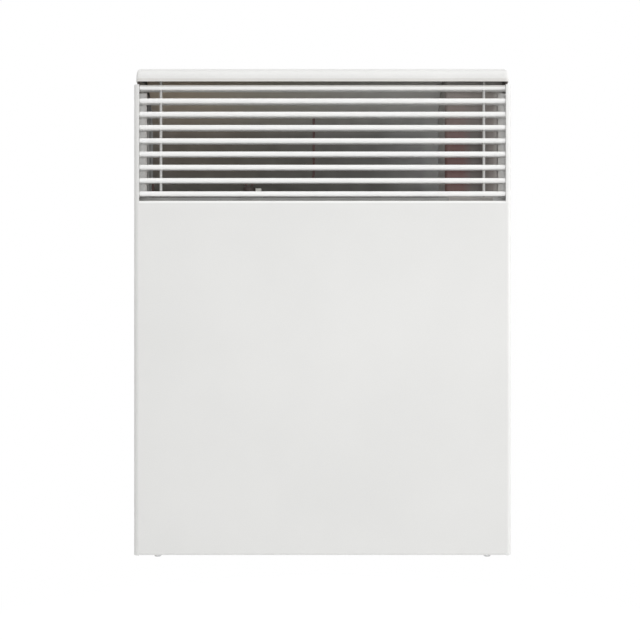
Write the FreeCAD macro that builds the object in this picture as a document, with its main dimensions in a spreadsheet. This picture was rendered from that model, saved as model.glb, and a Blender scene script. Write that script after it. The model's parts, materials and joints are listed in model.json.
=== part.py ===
"""A wall-hung electric convector heater, modelled as the separate pieces it is assembled from.

The front faces -Y, +Z is up and the wall is the plane y = 0.
The origin is the middle of the wall bracket's four screw holes, on the wall.
"""

import FreeCAD, Part

import math
import os

import Sketcher

Vector = FreeCAD.Vector

# Driving dimensions, in millimetres and degrees. Heights are counted from the casing's bottom edge.
DIMENSIONS = {
    # Casing
    "body_width": 342,
    "body_height": 442,
    "body_depth": 80,
    "wall_gap": 12,
    "skin": 0.8,
    "liner": 0.6,
    "play": 0.3,
    "hole_play": 0.1,
    "side_radius": 5,
    "rear_radius": 3,
    "rear_return": 12,
    "strip_lip": 0.3,
    # Front panel: the sill under the grille and the toe at the bottom
    "sill_drop": 6.94,
    "sill_rise": 0.6,
    "sill_radius": 1.2,
    "toe_depth": 16,
    "toe_radius": 2.2,
    # Top cap
    "cap_height": 13.5,
    "cap_seam": 2.7,
    "cap_inset": 2.3,
    "cap_bevel_height": 2.4,
    "cap_bevel_depth": 0.5,
    "cap_front_radius": 10.5,
    "cap_rear_radius": 2.5,
    "cap_end_radius": 3.5,
    "joint_leg": 6,
    # Outlet grille
    "blade_count": 9,
    "blade_pitch": 12.02,
    "first_blade_drop": 4.9,
    "blade_nose": 5,
    "blade_tail": 1.0,
    "blade_depth": 12.5,
    "blade_droop": 1.2,
    "blade_setback": 0.8,
    "blade_lug": 5,
    "rod_diameter": 2.4,
    "rod_inset": 24.3,
    "rod_setback": 4.2,
    "post_width": 9,
    "post_depth": 14,
    "post_drop": 5,
    # Back panel and inlet
    "back_flange": 12,
    "back_overlap": 6,
    "grid_slot_width": 6,
    "grid_slot_pitch": 10,
    "grid_margin": 22,
    "grid_rib": 5,
    # Screws
    "screw_diameter": 3.5,
    "screw_head": 6.6,
    "screw_head_height": 2.6,
    "screw_length": 7,
    "toe_screw_inset": 21,
    "toe_screw_setback": 8,
    "side_screw_inset": 6.5,
    "side_screw_low": 60,
    "side_screw_pitch": 230,
    "cap_screw_margin": 13,
    # Air path inside
    "shield_gap": 13,
    "shield_low": 14,
    "shield_rise": 4.7,
    "shield_foot": 12,
    "deflector_radius": 50,
    "deflector_lip": 5,
    "deflector_leg": 74,
    "control_width": 58,
    "partition_flange": 11,
    # Heating element
    "element_end_gap": 28,
    "element_height": 120,
    "element_core": 8,
    "element_arm": 27,
    "element_arm_thickness": 2.6,
    "element_rib": 3.2,
    "element_rib_thickness": 1.4,
    "element_rib_pitch": 5.2,
    "bush_diameter": 13,
    "bush_flange": 20,
    "bush_length": 12,
    "bracket_plate": 1.2,
    "bracket_height": 40,
    # Thermal cut-out
    "cutout_offset": 67.8,
    "cutout_diameter": 11.5,
    "cutout_depth": 9,
    "cutout_rise": 6.5,
    # Control unit
    "housing_width": 50,
    "housing_depth": 50,
    "housing_height": 118,
    "housing_wall": 2,
    "bezel_thickness": 1.6,
    "bezel_margin": 3,
    "well_depth": 9,
    "dial_margin": 3.4,
    "knob_diameter": 19,
    "knob_height": 7.6,
    "knob_flutes": 24,
    "spindle_diameter": 6,
    "rocker_width": 11,
    "rocker_length": 19,
    "rocker_throw": 14,
    "rocker_pin": 2.6,
    "lens_diameter": 5,
    "pot_diameter": 17,
    "pot_height": 8,
    "board_drop": 34,
    "board_thickness": 1.6,
    # Supply side
    "gland_bore": 8,
    "gland_body": 16,
    "gland_flange": 23,
    "gland_height": 46,
    "gland_inset": 28,
    "terminal_height": 80,
    "terminal_length": 34,
    "lead_diameter": 2.4,
    "lead_drop": 8,
    # Wall bracket
    "bracket_sheet": 2,
    "bracket_margin": 19,
    "upright_width": 28,
    "hole_spacing_across": 120,
    "hole_spacing_up": 220,
    "hole_diameter": 6.5,
    "hole_height": 170,
    "crossbar_height": 36,
    "hook_width": 16,
    "hook_lap": 20,
    "pin_diameter": 5,
    "pin_setback": 20,
    "pin_height": 15,
    "running_fit": 0.08,
    "latch_height": 300,
    "latch_setback": 22,
    "latch_reach": 16,
    "latch_width": 9,
    "latch_thickness": 2,
    "rivet_diameter": 4,
    "slot_width": 26,
    "slot_height": 15,
}

# A cut reaches this far past the face it opens, so that no skin is left on it.
CUT_PAST = 1.0
# How near an edge or face has to lie to the place it is looked for.
NEAR = 0.01

doc = FreeCAD.newDocument("convector_heater")
sheet = doc.addObject("Spreadsheet::Sheet", "dims")
for row, (alias, value) in enumerate(DIMENSIONS.items(), start=1):
    sheet.set(f"A{row}", alias)
    sheet.set(f"B{row}", str(value))
    sheet.setAlias(f"B{row}", alias)
doc.recompute()


# Sizes


def number_of(value):
    return value.number if isinstance(value, Size) else float(value)


def formula_of(value):
    return value.formula if isinstance(value, Size) else repr(float(value))


class Size:
    """A length that carries its number and the spreadsheet formula behind it."""

    def __init__(self, number, formula):
        self.number = number
        self.formula = formula

    def __add__(self, other):
        return Size(self.number + number_of(other), f"({self.formula} + {formula_of(other)})")

    def __radd__(self, other):
        return Size(number_of(other) + self.number, f"({formula_of(other)} + {self.formula})")

    def __sub__(self, other):
        return Size(self.number - number_of(other), f"({self.formula} - {formula_of(other)})")

    def __rsub__(self, other):
        return Size(number_of(other) - self.number, f"({formula_of(other)} - {self.formula})")

    def __mul__(self, other):
        return Size(self.number * number_of(other), f"({self.formula} * {formula_of(other)})")

    __rmul__ = __mul__

    def __truediv__(self, other):
        return Size(self.number / number_of(other), f"({self.formula} / {formula_of(other)})")

    def __neg__(self):
        return Size(-self.number, f"(0 - {self.formula})")


class Dimensions:
    """The spreadsheet's cells, each as a Size under its alias."""

    def __init__(self, cells, aliases):
        for name in aliases:
            setattr(self, name, Size(float(cells.get(name)), f"dims.{name}"))


d = Dimensions(sheet, DIMENSIONS)
ZERO = Size(0.0, "0")


# Levels and planes that several pieces share

half = d.body_width / 2
front = -d.body_depth
rear = -d.wall_gap
foot = -d.hole_height
top = foot + d.body_height
rim = top - d.cap_height
panel_top = rim - d.cap_seam
last_blade = rim - d.first_blade_drop - d.blade_pitch * (d.blade_count - 1)
sill = last_blade - d.sill_drop
inside = half - d.skin
window = half - d.side_radius - d.strip_lip
ceiling = top - d.skin
back_rear = rear - d.skin
back_front = back_rear - d.skin
back_top = rim + d.back_overlap
grid_low = foot + d.skin
grid_high = grid_low + d.skin
shield_front = front + d.shield_gap
shield_rear = shield_front + d.liner
control_left = half - d.control_width
bracket_half = control_left - d.bracket_margin
cap_screw_across = control_left - d.cap_screw_margin
bezel_low = ceiling - d.bezel_thickness
screw_hole = d.screw_diameter / 2 + d.hole_play


# Sketches


def bind(thing, path, size):
    thing.setExpression(path, formula_of(size))


def place(sketch, geometry, end, x, y):
    """Ties a point of the sketch's geometry to a place measured from its origin."""
    for kind, size in (("DistanceX", x), ("DistanceY", y)):
        index = sketch.addConstraint(Sketcher.Constraint(kind, -1, 1, geometry, end, number_of(size)))
        bind(sketch, f"Constraints[{index}]", size)


def polygon(*points):
    """Draws a closed outline of straight lines."""

    def draw(sketch):
        corners = [Vector(number_of(x), number_of(y), 0) for x, y in points]
        first = sketch.GeometryCount
        count = len(corners)
        for i in range(count):
            sketch.addGeometry(Part.LineSegment(corners[i], corners[(i + 1) % count]))
        for i in range(count):
            sketch.addConstraint(
                Sketcher.Constraint("Coincident", first + i, 2, first + (i + 1) % count, 1)
            )
        for i, (x, y) in enumerate(points):
            place(sketch, first + i, 1, x, y)

    return draw


def rectangle(left, right, low, high):
    return polygon((left, low), (right, low), (right, high), (left, high))


def disc(x, y, radius):
    """Draws a full circle."""

    def draw(sketch):
        centre = Vector(number_of(x), number_of(y), 0)
        index = sketch.addGeometry(Part.Circle(centre, Vector(0, 0, 1), number_of(radius)))
        place(sketch, index, 3, x, y)
        constraint = sketch.addConstraint(Sketcher.Constraint("Radius", index, number_of(radius)))
        bind(sketch, f"Constraints[{constraint}]", radius)

    return draw


# Features


def new_body(label):
    body = doc.addObject("PartDesign::Body", label)
    body.Label = label
    body.AllowCompound = True
    return body


def origin_feature(body, role):
    return next(feature for feature in body.Origin.OriginFeatures if feature.Role == role)


def sketch_on(body, plane, shapes, offset, turn=0):
    """A sketch on one of the body's origin planes, moved along its normal and turned in its plane."""
    sketch = body.newObject("Sketcher::SketchObject", f"{body.Label}_sketch")
    sketch.AttachmentSupport = [(origin_feature(body, f"{plane}_Plane"), "")]
    sketch.MapMode = "FlatFace"
    turned = FreeCAD.Rotation(Vector(0, 0, 1), turn)
    sketch.AttachmentOffset = FreeCAD.Placement(Vector(0, 0, number_of(offset)), turned)
    bind(sketch, "AttachmentOffset.Base.z", offset)
    for draw in shapes:
        draw(sketch)
    return sketch


def extrude(kind, body, plane, shapes, low, high, turn=0):
    """Pads or pockets outlines between two places along the plane's axis: x, y or z."""
    start = -high if plane == "XZ" else low
    sketch = sketch_on(body, plane, shapes, start, turn)
    feature = body.newObject(f"PartDesign::{kind}", f"{body.Label}_{kind.lower()}")
    feature.Profile = sketch
    feature.Reversed = kind == "Pocket"
    bind(feature, "Length", high - low)
    doc.recompute()
    return feature


def pad(body, plane, shapes, low, high, turn=0):
    return extrude("Pad", body, plane, shapes, low, high, turn)


def pocket(body, plane, shapes, low, high, turn=0):
    return extrude("Pocket", body, plane, shapes, low, high, turn)


def revolve(body, plane, shape):
    """Turns a half outline about the vertical axis of its sketch."""
    sketch = sketch_on(body, plane, [shape], ZERO)
    feature = body.newObject("PartDesign::Revolution", f"{body.Label}_revolution")
    feature.Profile = sketch
    feature.ReferenceAxis = (sketch, ["V_Axis"])
    feature.Angle = 360
    doc.recompute()
    return feature


AXES = {"XY": Vector(0, 0, 1), "XZ": Vector(0, 1, 0), "YZ": Vector(1, 0, 0)}
IN_PLANE = {"XY": ("x", "y"), "XZ": ("x", "z"), "YZ": ("y", "z")}


def edges_at(shape, plane, corners):
    """Names of the straight edges that stand square on a plane at the given places."""
    across, up = IN_PLANE[plane]
    names = []
    for index, edge in enumerate(shape.Edges, start=1):
        run = edge.Vertexes[-1].Point - edge.Vertexes[0].Point
        if edge.Length - abs(run.dot(AXES[plane])) > NEAR:
            continue
        middle = edge.CenterOfMass
        for x, y in corners:
            off_x = getattr(middle, across) - number_of(x)
            off_y = getattr(middle, up) - number_of(y)
            if math.hypot(off_x, off_y) < NEAR:
                names.append(f"Edge{index}")
    return names


def round_edges(body, radius, plane, *corners):
    """Rounds the straight edges that stand on these places of a plane."""
    base = body.Tip
    feature = body.newObject("PartDesign::Fillet", f"{body.Label}_fillet")
    feature.Base = (base, edges_at(base.Shape, plane, corners))
    bind(feature, "Radius", radius)
    doc.recompute()
    return feature


def bend(body, plane, thickness, radius, outer, inner):
    """Gives a folded sheet its bend: the outer corner's radius, and the inner one smaller by the sheet."""
    round_edges(body, radius, plane, outer)
    round_edges(body, radius - thickness, plane, inner)


def faces_at(shape, axis, place_along):
    """Names of the flat faces square to an axis at one place along it."""
    names = []
    for index, face in enumerate(shape.Faces, start=1):
        box = face.BoundBox
        low, high = getattr(box, f"{axis}Min"), getattr(box, f"{axis}Max")
        if high - low < NEAR and abs(low - number_of(place_along)) < NEAR:
            names.append(f"Face{index}")
    return names


def hollow(body, wall, axis, *open_at):
    """Leaves a wall inwards and takes away the faces at these places along an axis."""
    base = body.Tip
    names = [name for place_along in open_at for name in faces_at(base.Shape, axis, place_along)]
    feature = body.newObject("PartDesign::Thickness", f"{body.Label}_thickness")
    feature.Base = (base, names)
    feature.Reversed = True
    feature.Join = 1
    bind(feature, "Value", wall)
    doc.recompute()
    return feature


def repeat_along(body, feature, axis, pitch, count):
    """Repeats a feature in a straight row."""
    pattern = body.newObject("PartDesign::LinearPattern", f"{body.Label}_row")
    pattern.Originals = [feature]
    pattern.Direction = (origin_feature(body, f"{axis}_Axis"), [""])
    bind(pattern, "Length", pitch * (number_of(count) - 1))
    pattern.Occurrences = int(number_of(count))
    body.Tip = pattern
    doc.recompute()
    return pattern


def repeat_round(body, feature, axis, count):
    """Repeats a feature evenly round one of the body's own axes."""
    pattern = body.newObject("PartDesign::PolarPattern", f"{body.Label}_ring")
    pattern.Originals = [feature]
    pattern.Axis = (origin_feature(body, f"{axis}_Axis"), [""])
    pattern.Angle = 360
    pattern.Occurrences = int(number_of(count))
    body.Tip = pattern
    doc.recompute()
    return pattern


def move(body, x, y, z):
    """Sets the body's place from sizes."""
    for axis, size in (("x", x), ("y", y), ("z", z)):
        bind(body, f"Placement.Base.{axis}", size)
    doc.recompute()


# Casing


def both(shape):
    """The same outline on the left (-1) and on the right (1)."""
    return [shape(-1), shape(1)]


def build_front_panel():
    """One painted sheet round the front and both sides, with a toe below and a sill under the grille."""
    body = new_body("front_panel")
    sill_back = shield_front - d.play
    sill_high = sill + d.sill_rise
    toe_back = front + d.toe_depth
    face_rear = front + d.skin
    profile = polygon(
        (toe_back, foot),
        (front, foot),
        (front, sill),
        (sill_back, sill_high),
        (sill_back, sill_high - d.skin),
        (face_rear, sill - d.skin),
        (face_rear, grid_low),
        (toe_back, grid_low),
    )
    pad(body, "YZ", [profile], -window, window)
    bend(body, "YZ", d.skin, d.toe_radius, (front, foot), (face_rear, grid_low))
    bend(body, "YZ", d.skin, d.sill_radius, (front, sill), (face_rear, sill - d.skin))

    def side_wall(side):
        returned = half - d.rear_return
        return polygon(
            (window * side, front),
            (half * side, front),
            (half * side, rear),
            (returned * side, rear),
            (returned * side, back_rear),
            (inside * side, back_rear),
            (inside * side, face_rear),
            (window * side, face_rear),
        )

    pad(body, "XY", both(side_wall), foot, panel_top)
    for side in (-1, 1):
        bend(body, "XY", d.skin, d.side_radius, (half * side, front), (inside * side, face_rear))
        bend(body, "XY", d.skin, d.rear_radius, (half * side, rear), (inside * side, back_rear))
    pocket(body, "XY", toe_screw_discs(screw_hole), foot - CUT_PAST, grid_high)
    pocket(body, "XZ", side_screw_discs(screw_hole), back_front, rear + CUT_PAST)


def toe_screw_discs(radius):
    setback = front + d.toe_screw_setback
    return both(lambda side: disc((half - d.toe_screw_inset) * side, setback, radius))


def side_screw_discs(radius):
    levels = (foot + d.side_screw_low, foot + d.side_screw_low + d.side_screw_pitch)
    across = half - d.side_screw_inset
    return [disc(across * side, level, radius) for side in (-1, 1) for level in levels]


def cap_screw_discs(radius):
    level = rim + d.back_overlap / 2
    return both(lambda side: disc(cap_screw_across * side, level, radius))


def build_back_panel():
    """The rear sheet: it lies against the casing's rear returns and tucks up inside the cap."""
    body = new_body("back_panel")
    reach = inside - (d.rear_radius - d.skin) - d.play
    flange_front = back_rear - d.back_flange
    flange_high = grid_high + d.skin
    profile = polygon(
        (flange_front, grid_high),
        (back_rear, grid_high),
        (back_rear, back_top),
        (back_front, back_top),
        (back_front, flange_high),
        (flange_front, flange_high),
    )
    pad(body, "YZ", [profile], -reach, reach)
    bend(body, "YZ", d.skin, d.toe_radius, (back_rear, grid_high), (back_front, flange_high))

    cap_clear = half - d.cap_inset - d.cap_end_radius - d.play

    def corner_notch(side):
        return rectangle(cap_clear * side, (reach + CUT_PAST) * side, panel_top, back_top + CUT_PAST)

    def hook_notch(side):
        middle = bracket_half * side
        width = d.hook_width / 2 + hook_notch_play
        return rectangle(middle - width, middle + width, grid_high - CUT_PAST, hook_notch_top)

    def latch_slot(side):
        middle = bracket_half * side
        width = d.slot_width / 2
        low = latch_level - d.slot_height / 3
        return rectangle(middle - width, middle + width, low, low + d.slot_height)

    for outline in (corner_notch, hook_notch, latch_slot):
        pocket(body, "XZ", both(outline), flange_front - CUT_PAST, back_rear + CUT_PAST)
    gland_hole = disc(gland_across, gland_level, d.gland_body / 2 + d.hole_play)
    holes = side_screw_discs(screw_hole) + cap_screw_discs(screw_hole) + [gland_hole]
    pocket(body, "XZ", holes, back_front - CUT_PAST, back_rear + CUT_PAST)


def build_top_cap():
    """The drawn cap over the casing, with its broad rounded front and the opening for the controls."""
    body = new_body("top_cap")
    reach = half - d.cap_inset
    pad(body, "XY", [rectangle(-reach, reach, front, rear)], rim, top)
    round_edges(body, d.cap_front_radius, "YZ", (front, top))
    round_edges(body, d.cap_rear_radius, "YZ", (rear, top))
    base = body.Tip
    ends = body.newObject("PartDesign::Fillet", "top_cap_ends")
    ends.Base = (base, end_edges(base.Shape, reach))
    bind(ends, "Radius", d.cap_end_radius)
    doc.recompute()
    hollow(body, d.skin, "Z", rim)
    bevel = polygon(
        (front - CUT_PAST, rim),
        (front + d.cap_bevel_depth, rim),
        (front, rim + d.cap_bevel_height),
        (front - CUT_PAST, rim + d.cap_bevel_height),
    )
    pocket(body, "YZ", [bevel], -half, half)
    opening = rectangle(opening_left, opening_right, opening_front, opening_rear)
    pocket(body, "XY", [opening], ceiling - CUT_PAST, top + CUT_PAST)
    corners = [(x, y) for x in (opening_left, opening_right) for y in (opening_front, opening_rear)]
    round_edges(body, d.bezel_margin, "XY", *corners)
    pocket(body, "XZ", cap_screw_discs(screw_hole), back_front, rear + CUT_PAST)


def end_edges(shape, reach):
    """Names of the edges round both ends of the cap, apart from the ones on its rim."""
    names = []
    for index, edge in enumerate(shape.Edges, start=1):
        box = edge.BoundBox
        on_end = box.XLength < NEAR and abs(abs(box.XMin) - number_of(reach)) < NEAR
        if on_end and box.ZMax > number_of(rim) + NEAR:
            names.append(f"Edge{index}")
    return names


def build_cap_joint(label, side):
    """The joggled moulding that joins an end of the cap to the side wall and closes the seam from behind."""
    body = new_body(label)
    cap_inside = half - d.cap_inset - d.skin
    tongue_inside = cap_inside - d.skin
    step_low = panel_top - d.skin * 3
    step_high = panel_top - d.skin
    plate_front = post_front + d.post_depth + d.play
    plate_rear = rear - d.cap_end_radius - d.play
    profile = polygon(
        (inside * side, panel_top - d.joint_leg),
        (inside * side, step_low),
        (cap_inside * side, step_high),
        (cap_inside * side, back_top),
        (tongue_inside * side, back_top),
        (tongue_inside * side, step_high),
        ((inside - d.skin) * side, step_low),
        ((inside - d.skin) * side, panel_top - d.joint_leg),
    )
    pad(body, "XZ", [profile], plate_front, plate_rear)
    step = polygon(
        (inside * side, step_low),
        (cap_inside * side, step_high),
        (cap_inside * side, back_top),
        (tongue_inside * side, back_top),
        (tongue_inside * side, step_high),
        ((inside - d.skin) * side, step_low),
    )
    pad(body, "XZ", [step], post_front, plate_front + d.skin)
    face = front + d.skin * 2
    tongue = polygon(
        (cap_inside * side, plate_front + d.skin),
        (cap_inside * side, face),
        (window * side, face),
        (window * side, face + d.skin),
        (tongue_inside * side, face + d.skin),
        (tongue_inside * side, plate_front + d.skin),
    )
    pad(body, "XY", [tongue], step_high, back_top)
    corner_radius = d.cap_end_radius - d.skin * 2
    outer = (cap_inside * side, face)
    inner = (tongue_inside * side, face + d.skin)
    bend(body, "XY", d.skin, corner_radius, outer, inner)


# Outlet grille

blade_front = front + d.blade_setback
blade_rear = blade_front + d.blade_depth
rod_across = half - d.rod_inset
rod_back = blade_front + d.rod_setback
post_front = blade_rear + d.play


def blade_level(index):
    return rim - d.first_blade_drop - d.blade_pitch * index


def build_blade(index):
    """A louvre blade: a rounded nose that thins to its tail, with a lug at each end on the side wall."""
    body = new_body(f"louvre_blade_{index + 1}")
    level = blade_level(index)
    nose = d.blade_nose / 2
    tail = d.blade_tail / 2
    tail_high = level - d.blade_droop + tail
    tail_low = level - d.blade_droop - tail
    share = (d.blade_depth - d.blade_lug) / d.blade_depth
    lug_front = blade_rear - d.blade_lug
    lug_high = level + nose + (tail_high - level - nose) * share
    lug_low = level - nose + (tail_low - level + nose) * share
    blade = polygon(
        (blade_front, level - nose),
        (blade_front, level + nose),
        (blade_rear, tail_high),
        (blade_rear, tail_low),
    )
    lug = polygon(
        (lug_front, lug_low),
        (lug_front, lug_high),
        (blade_rear, tail_high),
        (blade_rear, tail_low),
    )
    pad(body, "YZ", [blade], -window + d.play, window - d.play)
    nose_round = d.blade_nose * 0.38
    round_edges(body, nose_round, "YZ", (blade_front, level + nose), (blade_front, level - nose))
    pad(body, "YZ", [lug], -inside, inside)
    hole = d.rod_diameter / 2 + d.running_fit
    holes = both(lambda side: disc(rod_across * side, rod_back, hole))
    pocket(body, "XY", holes, level - d.blade_nose, level + d.blade_nose)


def build_tie_bar(label, side):
    """A round bar down through the blades that keeps them parallel."""
    body = new_body(label)
    low = last_blade - d.blade_nose / 2
    pad(body, "XY", [disc(rod_across * side, rod_back, d.rod_diameter / 2)], low, rim + d.cap_seam)


def build_grille_posts():
    """The folded posts on the side walls that the blades' tails lie against."""
    body = new_body("grille_posts")
    low = sill + d.shield_rise + d.play
    high = panel_top - d.post_drop

    def post(side):
        return polygon(
            (inside * side, post_front),
            (inside * side, post_front + d.post_depth),
            ((inside - d.skin) * side, post_front + d.post_depth),
            ((inside - d.skin) * side, post_front + d.skin),
            ((inside - d.post_width) * side, post_front + d.skin),
            ((inside - d.post_width) * side, post_front),
        )

    pad(body, "XY", both(post), low, high)
    for side in (-1, 1):
        outer = (inside * side, post_front)
        inner = ((inside - d.skin) * side, post_front + d.skin)
        bend(body, "XY", d.skin, d.toe_radius, outer, inner)


# Bottom, inside sheets and screws


def build_inlet_grid():
    """The slotted floor that lets the air in, on the front panel's toe and under the back panel."""
    body = new_body("inlet_grid")
    grid_front = front + d.toe_radius + d.play
    grid_rear = back_rear - d.play
    ear = inside - d.play
    ear_front = front + d.side_radius
    ear_rear = back_rear - d.rear_radius
    outline = polygon(
        (-window, grid_front),
        (window, grid_front),
        (window, ear_front),
        (ear, ear_front),
        (ear, ear_rear),
        (window, ear_rear),
        (window, grid_rear),
        (-window, grid_rear),
        (-window, ear_rear),
        (-ear, ear_rear),
        (-ear, ear_front),
        (-window, ear_front),
    )
    pad(body, "XY", [outline], grid_low, grid_high)
    slot_front = front + d.toe_depth + d.skin
    slot_rear = back_rear - d.back_flange - d.skin
    middle = (slot_front + slot_rear) / 2
    left = -window + d.grid_margin
    right = left + d.grid_slot_width
    rows = [
        rectangle(left, right, slot_front, middle - d.grid_rib / 2),
        rectangle(left, right, middle + d.grid_rib / 2, slot_rear),
    ]
    slots = pocket(body, "XY", rows, grid_low - CUT_PAST, grid_high + CUT_PAST)
    free = (window - d.grid_margin) * 2 - d.grid_slot_width
    repeat_along(body, slots, "X", d.grid_slot_pitch, math.floor(number_of(free / d.grid_slot_pitch)) + 1)
    pocket(body, "XY", toe_screw_discs(screw_hole), grid_low - CUT_PAST, grid_high + CUT_PAST)


def build_partition():
    """The upright sheet between the warm duct and the wiring side."""
    body = new_body("partition")
    flange = control_left + d.partition_flange
    low = grid_high + d.toe_radius + d.play
    profile = polygon(
        (control_left, shield_rear),
        (control_left, back_front),
        (flange, back_front),
        (flange, back_front - d.liner),
        (control_left + d.liner, back_front - d.liner),
        (control_left + d.liner, shield_rear),
    )
    pad(body, "XY", [profile], low, housing_low)
    inner = (control_left + d.liner, back_front - d.liner)
    bend(body, "XY", d.liner, d.toe_radius, (control_left, back_front), inner)


def build_heat_shield():
    """The baffle behind the front panel that keeps it touchable; its foot lies on the left side wall."""
    body = new_body("heat_shield")
    right = control_left + d.liner * 5
    profile = polygon(
        (-inside, shield_front + d.shield_foot),
        (-inside, shield_front),
        (right, shield_front),
        (right, shield_rear),
        (-inside + d.liner, shield_rear),
        (-inside + d.liner, shield_front + d.shield_foot),
    )
    pad(body, "XY", [profile], foot + d.shield_low, sill + d.shield_rise)
    bend(body, "XY", d.liner, d.toe_radius, (-inside, shield_front), (-inside + d.liner, shield_rear))


def build_air_deflector():
    """The curved sheet under the cap that turns the rising air out through the grille."""
    body = new_body("air_deflector")
    low = ceiling - d.deflector_radius - d.deflector_leg
    lip = back_front - d.deflector_radius - d.deflector_lip
    profile = polygon(
        (back_front, low),
        (back_front, ceiling),
        (lip, ceiling),
        (lip, ceiling - d.liner),
        (back_front - d.liner, ceiling - d.liner),
        (back_front - d.liner, low),
    )
    left = -half + d.cap_inset + d.cap_end_radius
    pad(body, "YZ", [profile], left, control_left - d.play)
    inner = (back_front - d.liner, ceiling - d.liner)
    bend(body, "YZ", d.liner, d.deflector_radius, (back_front, ceiling), inner)


def round_heads(body, axis, place_along, radius):
    """Domes the screw heads whose flat tops lie at one place along an axis."""
    base = body.Tip
    names = []
    for index, edge in enumerate(base.Shape.Edges, start=1):
        box = edge.BoundBox
        low, high = getattr(box, f"{axis}Min"), getattr(box, f"{axis}Max")
        level = abs(low - number_of(place_along)) < NEAR and abs(high - number_of(place_along)) < NEAR
        if level and edge.Closed:
            names.append(f"Edge{index}")
    feature = body.newObject("PartDesign::Fillet", f"{body.Label}_domes")
    feature.Base = (base, names)
    bind(feature, "Radius", radius)
    doc.recompute()


def build_toe_screws():
    """The two screws that hold the front panel's toe to the inlet grid."""
    body = new_body("toe_screws")
    head_low = foot - d.screw_head_height
    pad(body, "XY", toe_screw_discs(d.screw_head / 2), head_low, foot)
    round_heads(body, "Z", head_low, d.screw_head_height * 0.5)
    shank_low = foot - d.screw_head_height / 4
    pad(body, "XY", toe_screw_discs(d.screw_diameter / 2), shank_low, foot + d.screw_length)
    across = half - d.toe_screw_inset
    setback = front + d.toe_screw_setback
    slots = both(lambda side: cross(across * side, setback, d.screw_head / 4, d.screw_head / 16))
    pocket(body, "XY", slots, head_low - CUT_PAST, head_low + d.screw_head_height * 0.4)


def cross(x, y, reach, arm):
    """The outline of a cross recess."""
    return polygon(
        (x - reach, y - arm),
        (x - arm, y - arm),
        (x - arm, y - reach),
        (x + arm, y - reach),
        (x + arm, y - arm),
        (x + reach, y - arm),
        (x + reach, y + arm),
        (x + arm, y + arm),
        (x + arm, y + reach),
        (x - arm, y + reach),
        (x - arm, y + arm),
        (x - reach, y + arm),
    )


def build_rear_screws():
    """The screws that hold the back panel to the casing's returns and to the cap."""
    body = new_body("rear_screws")
    head_high = rear + d.screw_head_height
    heads = side_screw_discs(d.screw_head / 2) + cap_screw_discs(d.screw_head / 2)
    pad(body, "XZ", heads, rear, head_high)
    round_heads(body, "Y", head_high, d.screw_head_height * 0.5)
    shanks = side_screw_discs(d.screw_diameter / 2) + cap_screw_discs(d.screw_diameter / 2)
    pad(body, "XZ", shanks, rear - d.screw_length, rear + d.screw_head_height / 4)
    reach, arm = d.screw_head / 4, d.screw_head / 16
    levels = (foot + d.side_screw_low, foot + d.side_screw_low + d.side_screw_pitch)
    places = [((half - d.side_screw_inset) * side, level) for side in (-1, 1) for level in levels]
    places += [(cap_screw_across * side, rim + d.back_overlap / 2) for side in (-1, 1)]
    slots = [cross(x, z, reach, arm) for x, z in places]
    pocket(body, "XZ", slots, head_high - d.screw_head_height * 0.4, head_high + CUT_PAST)


# Heating element

element_middle = (control_left - inside) / 2
element_back = (shield_rear + back_front) / 2
element_level = foot + d.element_height
element_half = (control_left + inside) / 2 - d.element_end_gap
flange_thickness = d.bush_length / 4
terminal_pin = d.bush_diameter / 8
terminal_length = d.bush_length / 2


def arm_outline():
    """One arm of the element's cross section with its ribs, drawn outwards along the sketch's x."""
    free = d.element_arm - d.element_core - d.element_rib
    count = math.floor(number_of(free / d.element_rib_pitch)) + 1
    thick = d.element_arm_thickness / 2
    tip = thick + d.element_rib
    lower = [(ZERO, -thick)]
    upper = [(ZERO, thick)]
    for i in range(count):
        start = d.element_arm - d.element_rib_thickness - d.element_rib_pitch * (count - 1 - i)
        stop = start + d.element_rib_thickness
        for points, sign in ((lower, -1), (upper, 1)):
            points += [(start, thick * sign), (start, tip * sign), (stop, tip * sign)]
            if i < count - 1:
                points.append((stop, thick * sign))
    return polygon(*(lower + upper[::-1]))


def build_heating_element():
    """The extruded aluminium element: a round core with four ribbed arms in a cross."""
    body = new_body("heating_element")
    pad(body, "YZ", [disc(ZERO, ZERO, d.element_core)], -element_half, element_half)
    arm = pad(body, "YZ", [arm_outline()], -element_half, element_half, turn=45)
    repeat_round(body, arm, "X", 4)
    move(body, element_middle, element_back, element_level)


def build_element_bush(label, side):
    """The ceramic bush that carries one end of the element in its bracket."""
    body = new_body(label)
    end = element_half * side
    stops = ((d.bush_flange / 2, flange_thickness), (d.bush_diameter / 2, d.bush_length))
    for radius, length in stops:
        outline = [disc(ZERO, ZERO, radius)]
        if side > 0:
            pad(body, "YZ", outline, end, end + length)
        else:
            pad(body, "YZ", outline, end - length, end)
    move(body, element_middle, element_back, element_level)


def build_element_terminals():
    """The two terminal pins that stand out of the bushes."""
    body = new_body("element_terminals")
    near = element_half + d.bush_length
    outline = [disc(ZERO, ZERO, terminal_pin)]
    pad(body, "YZ", outline, -near - terminal_length, -near)
    pad(body, "YZ", outline, near, near + terminal_length)
    move(body, element_middle, element_back, element_level)


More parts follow.
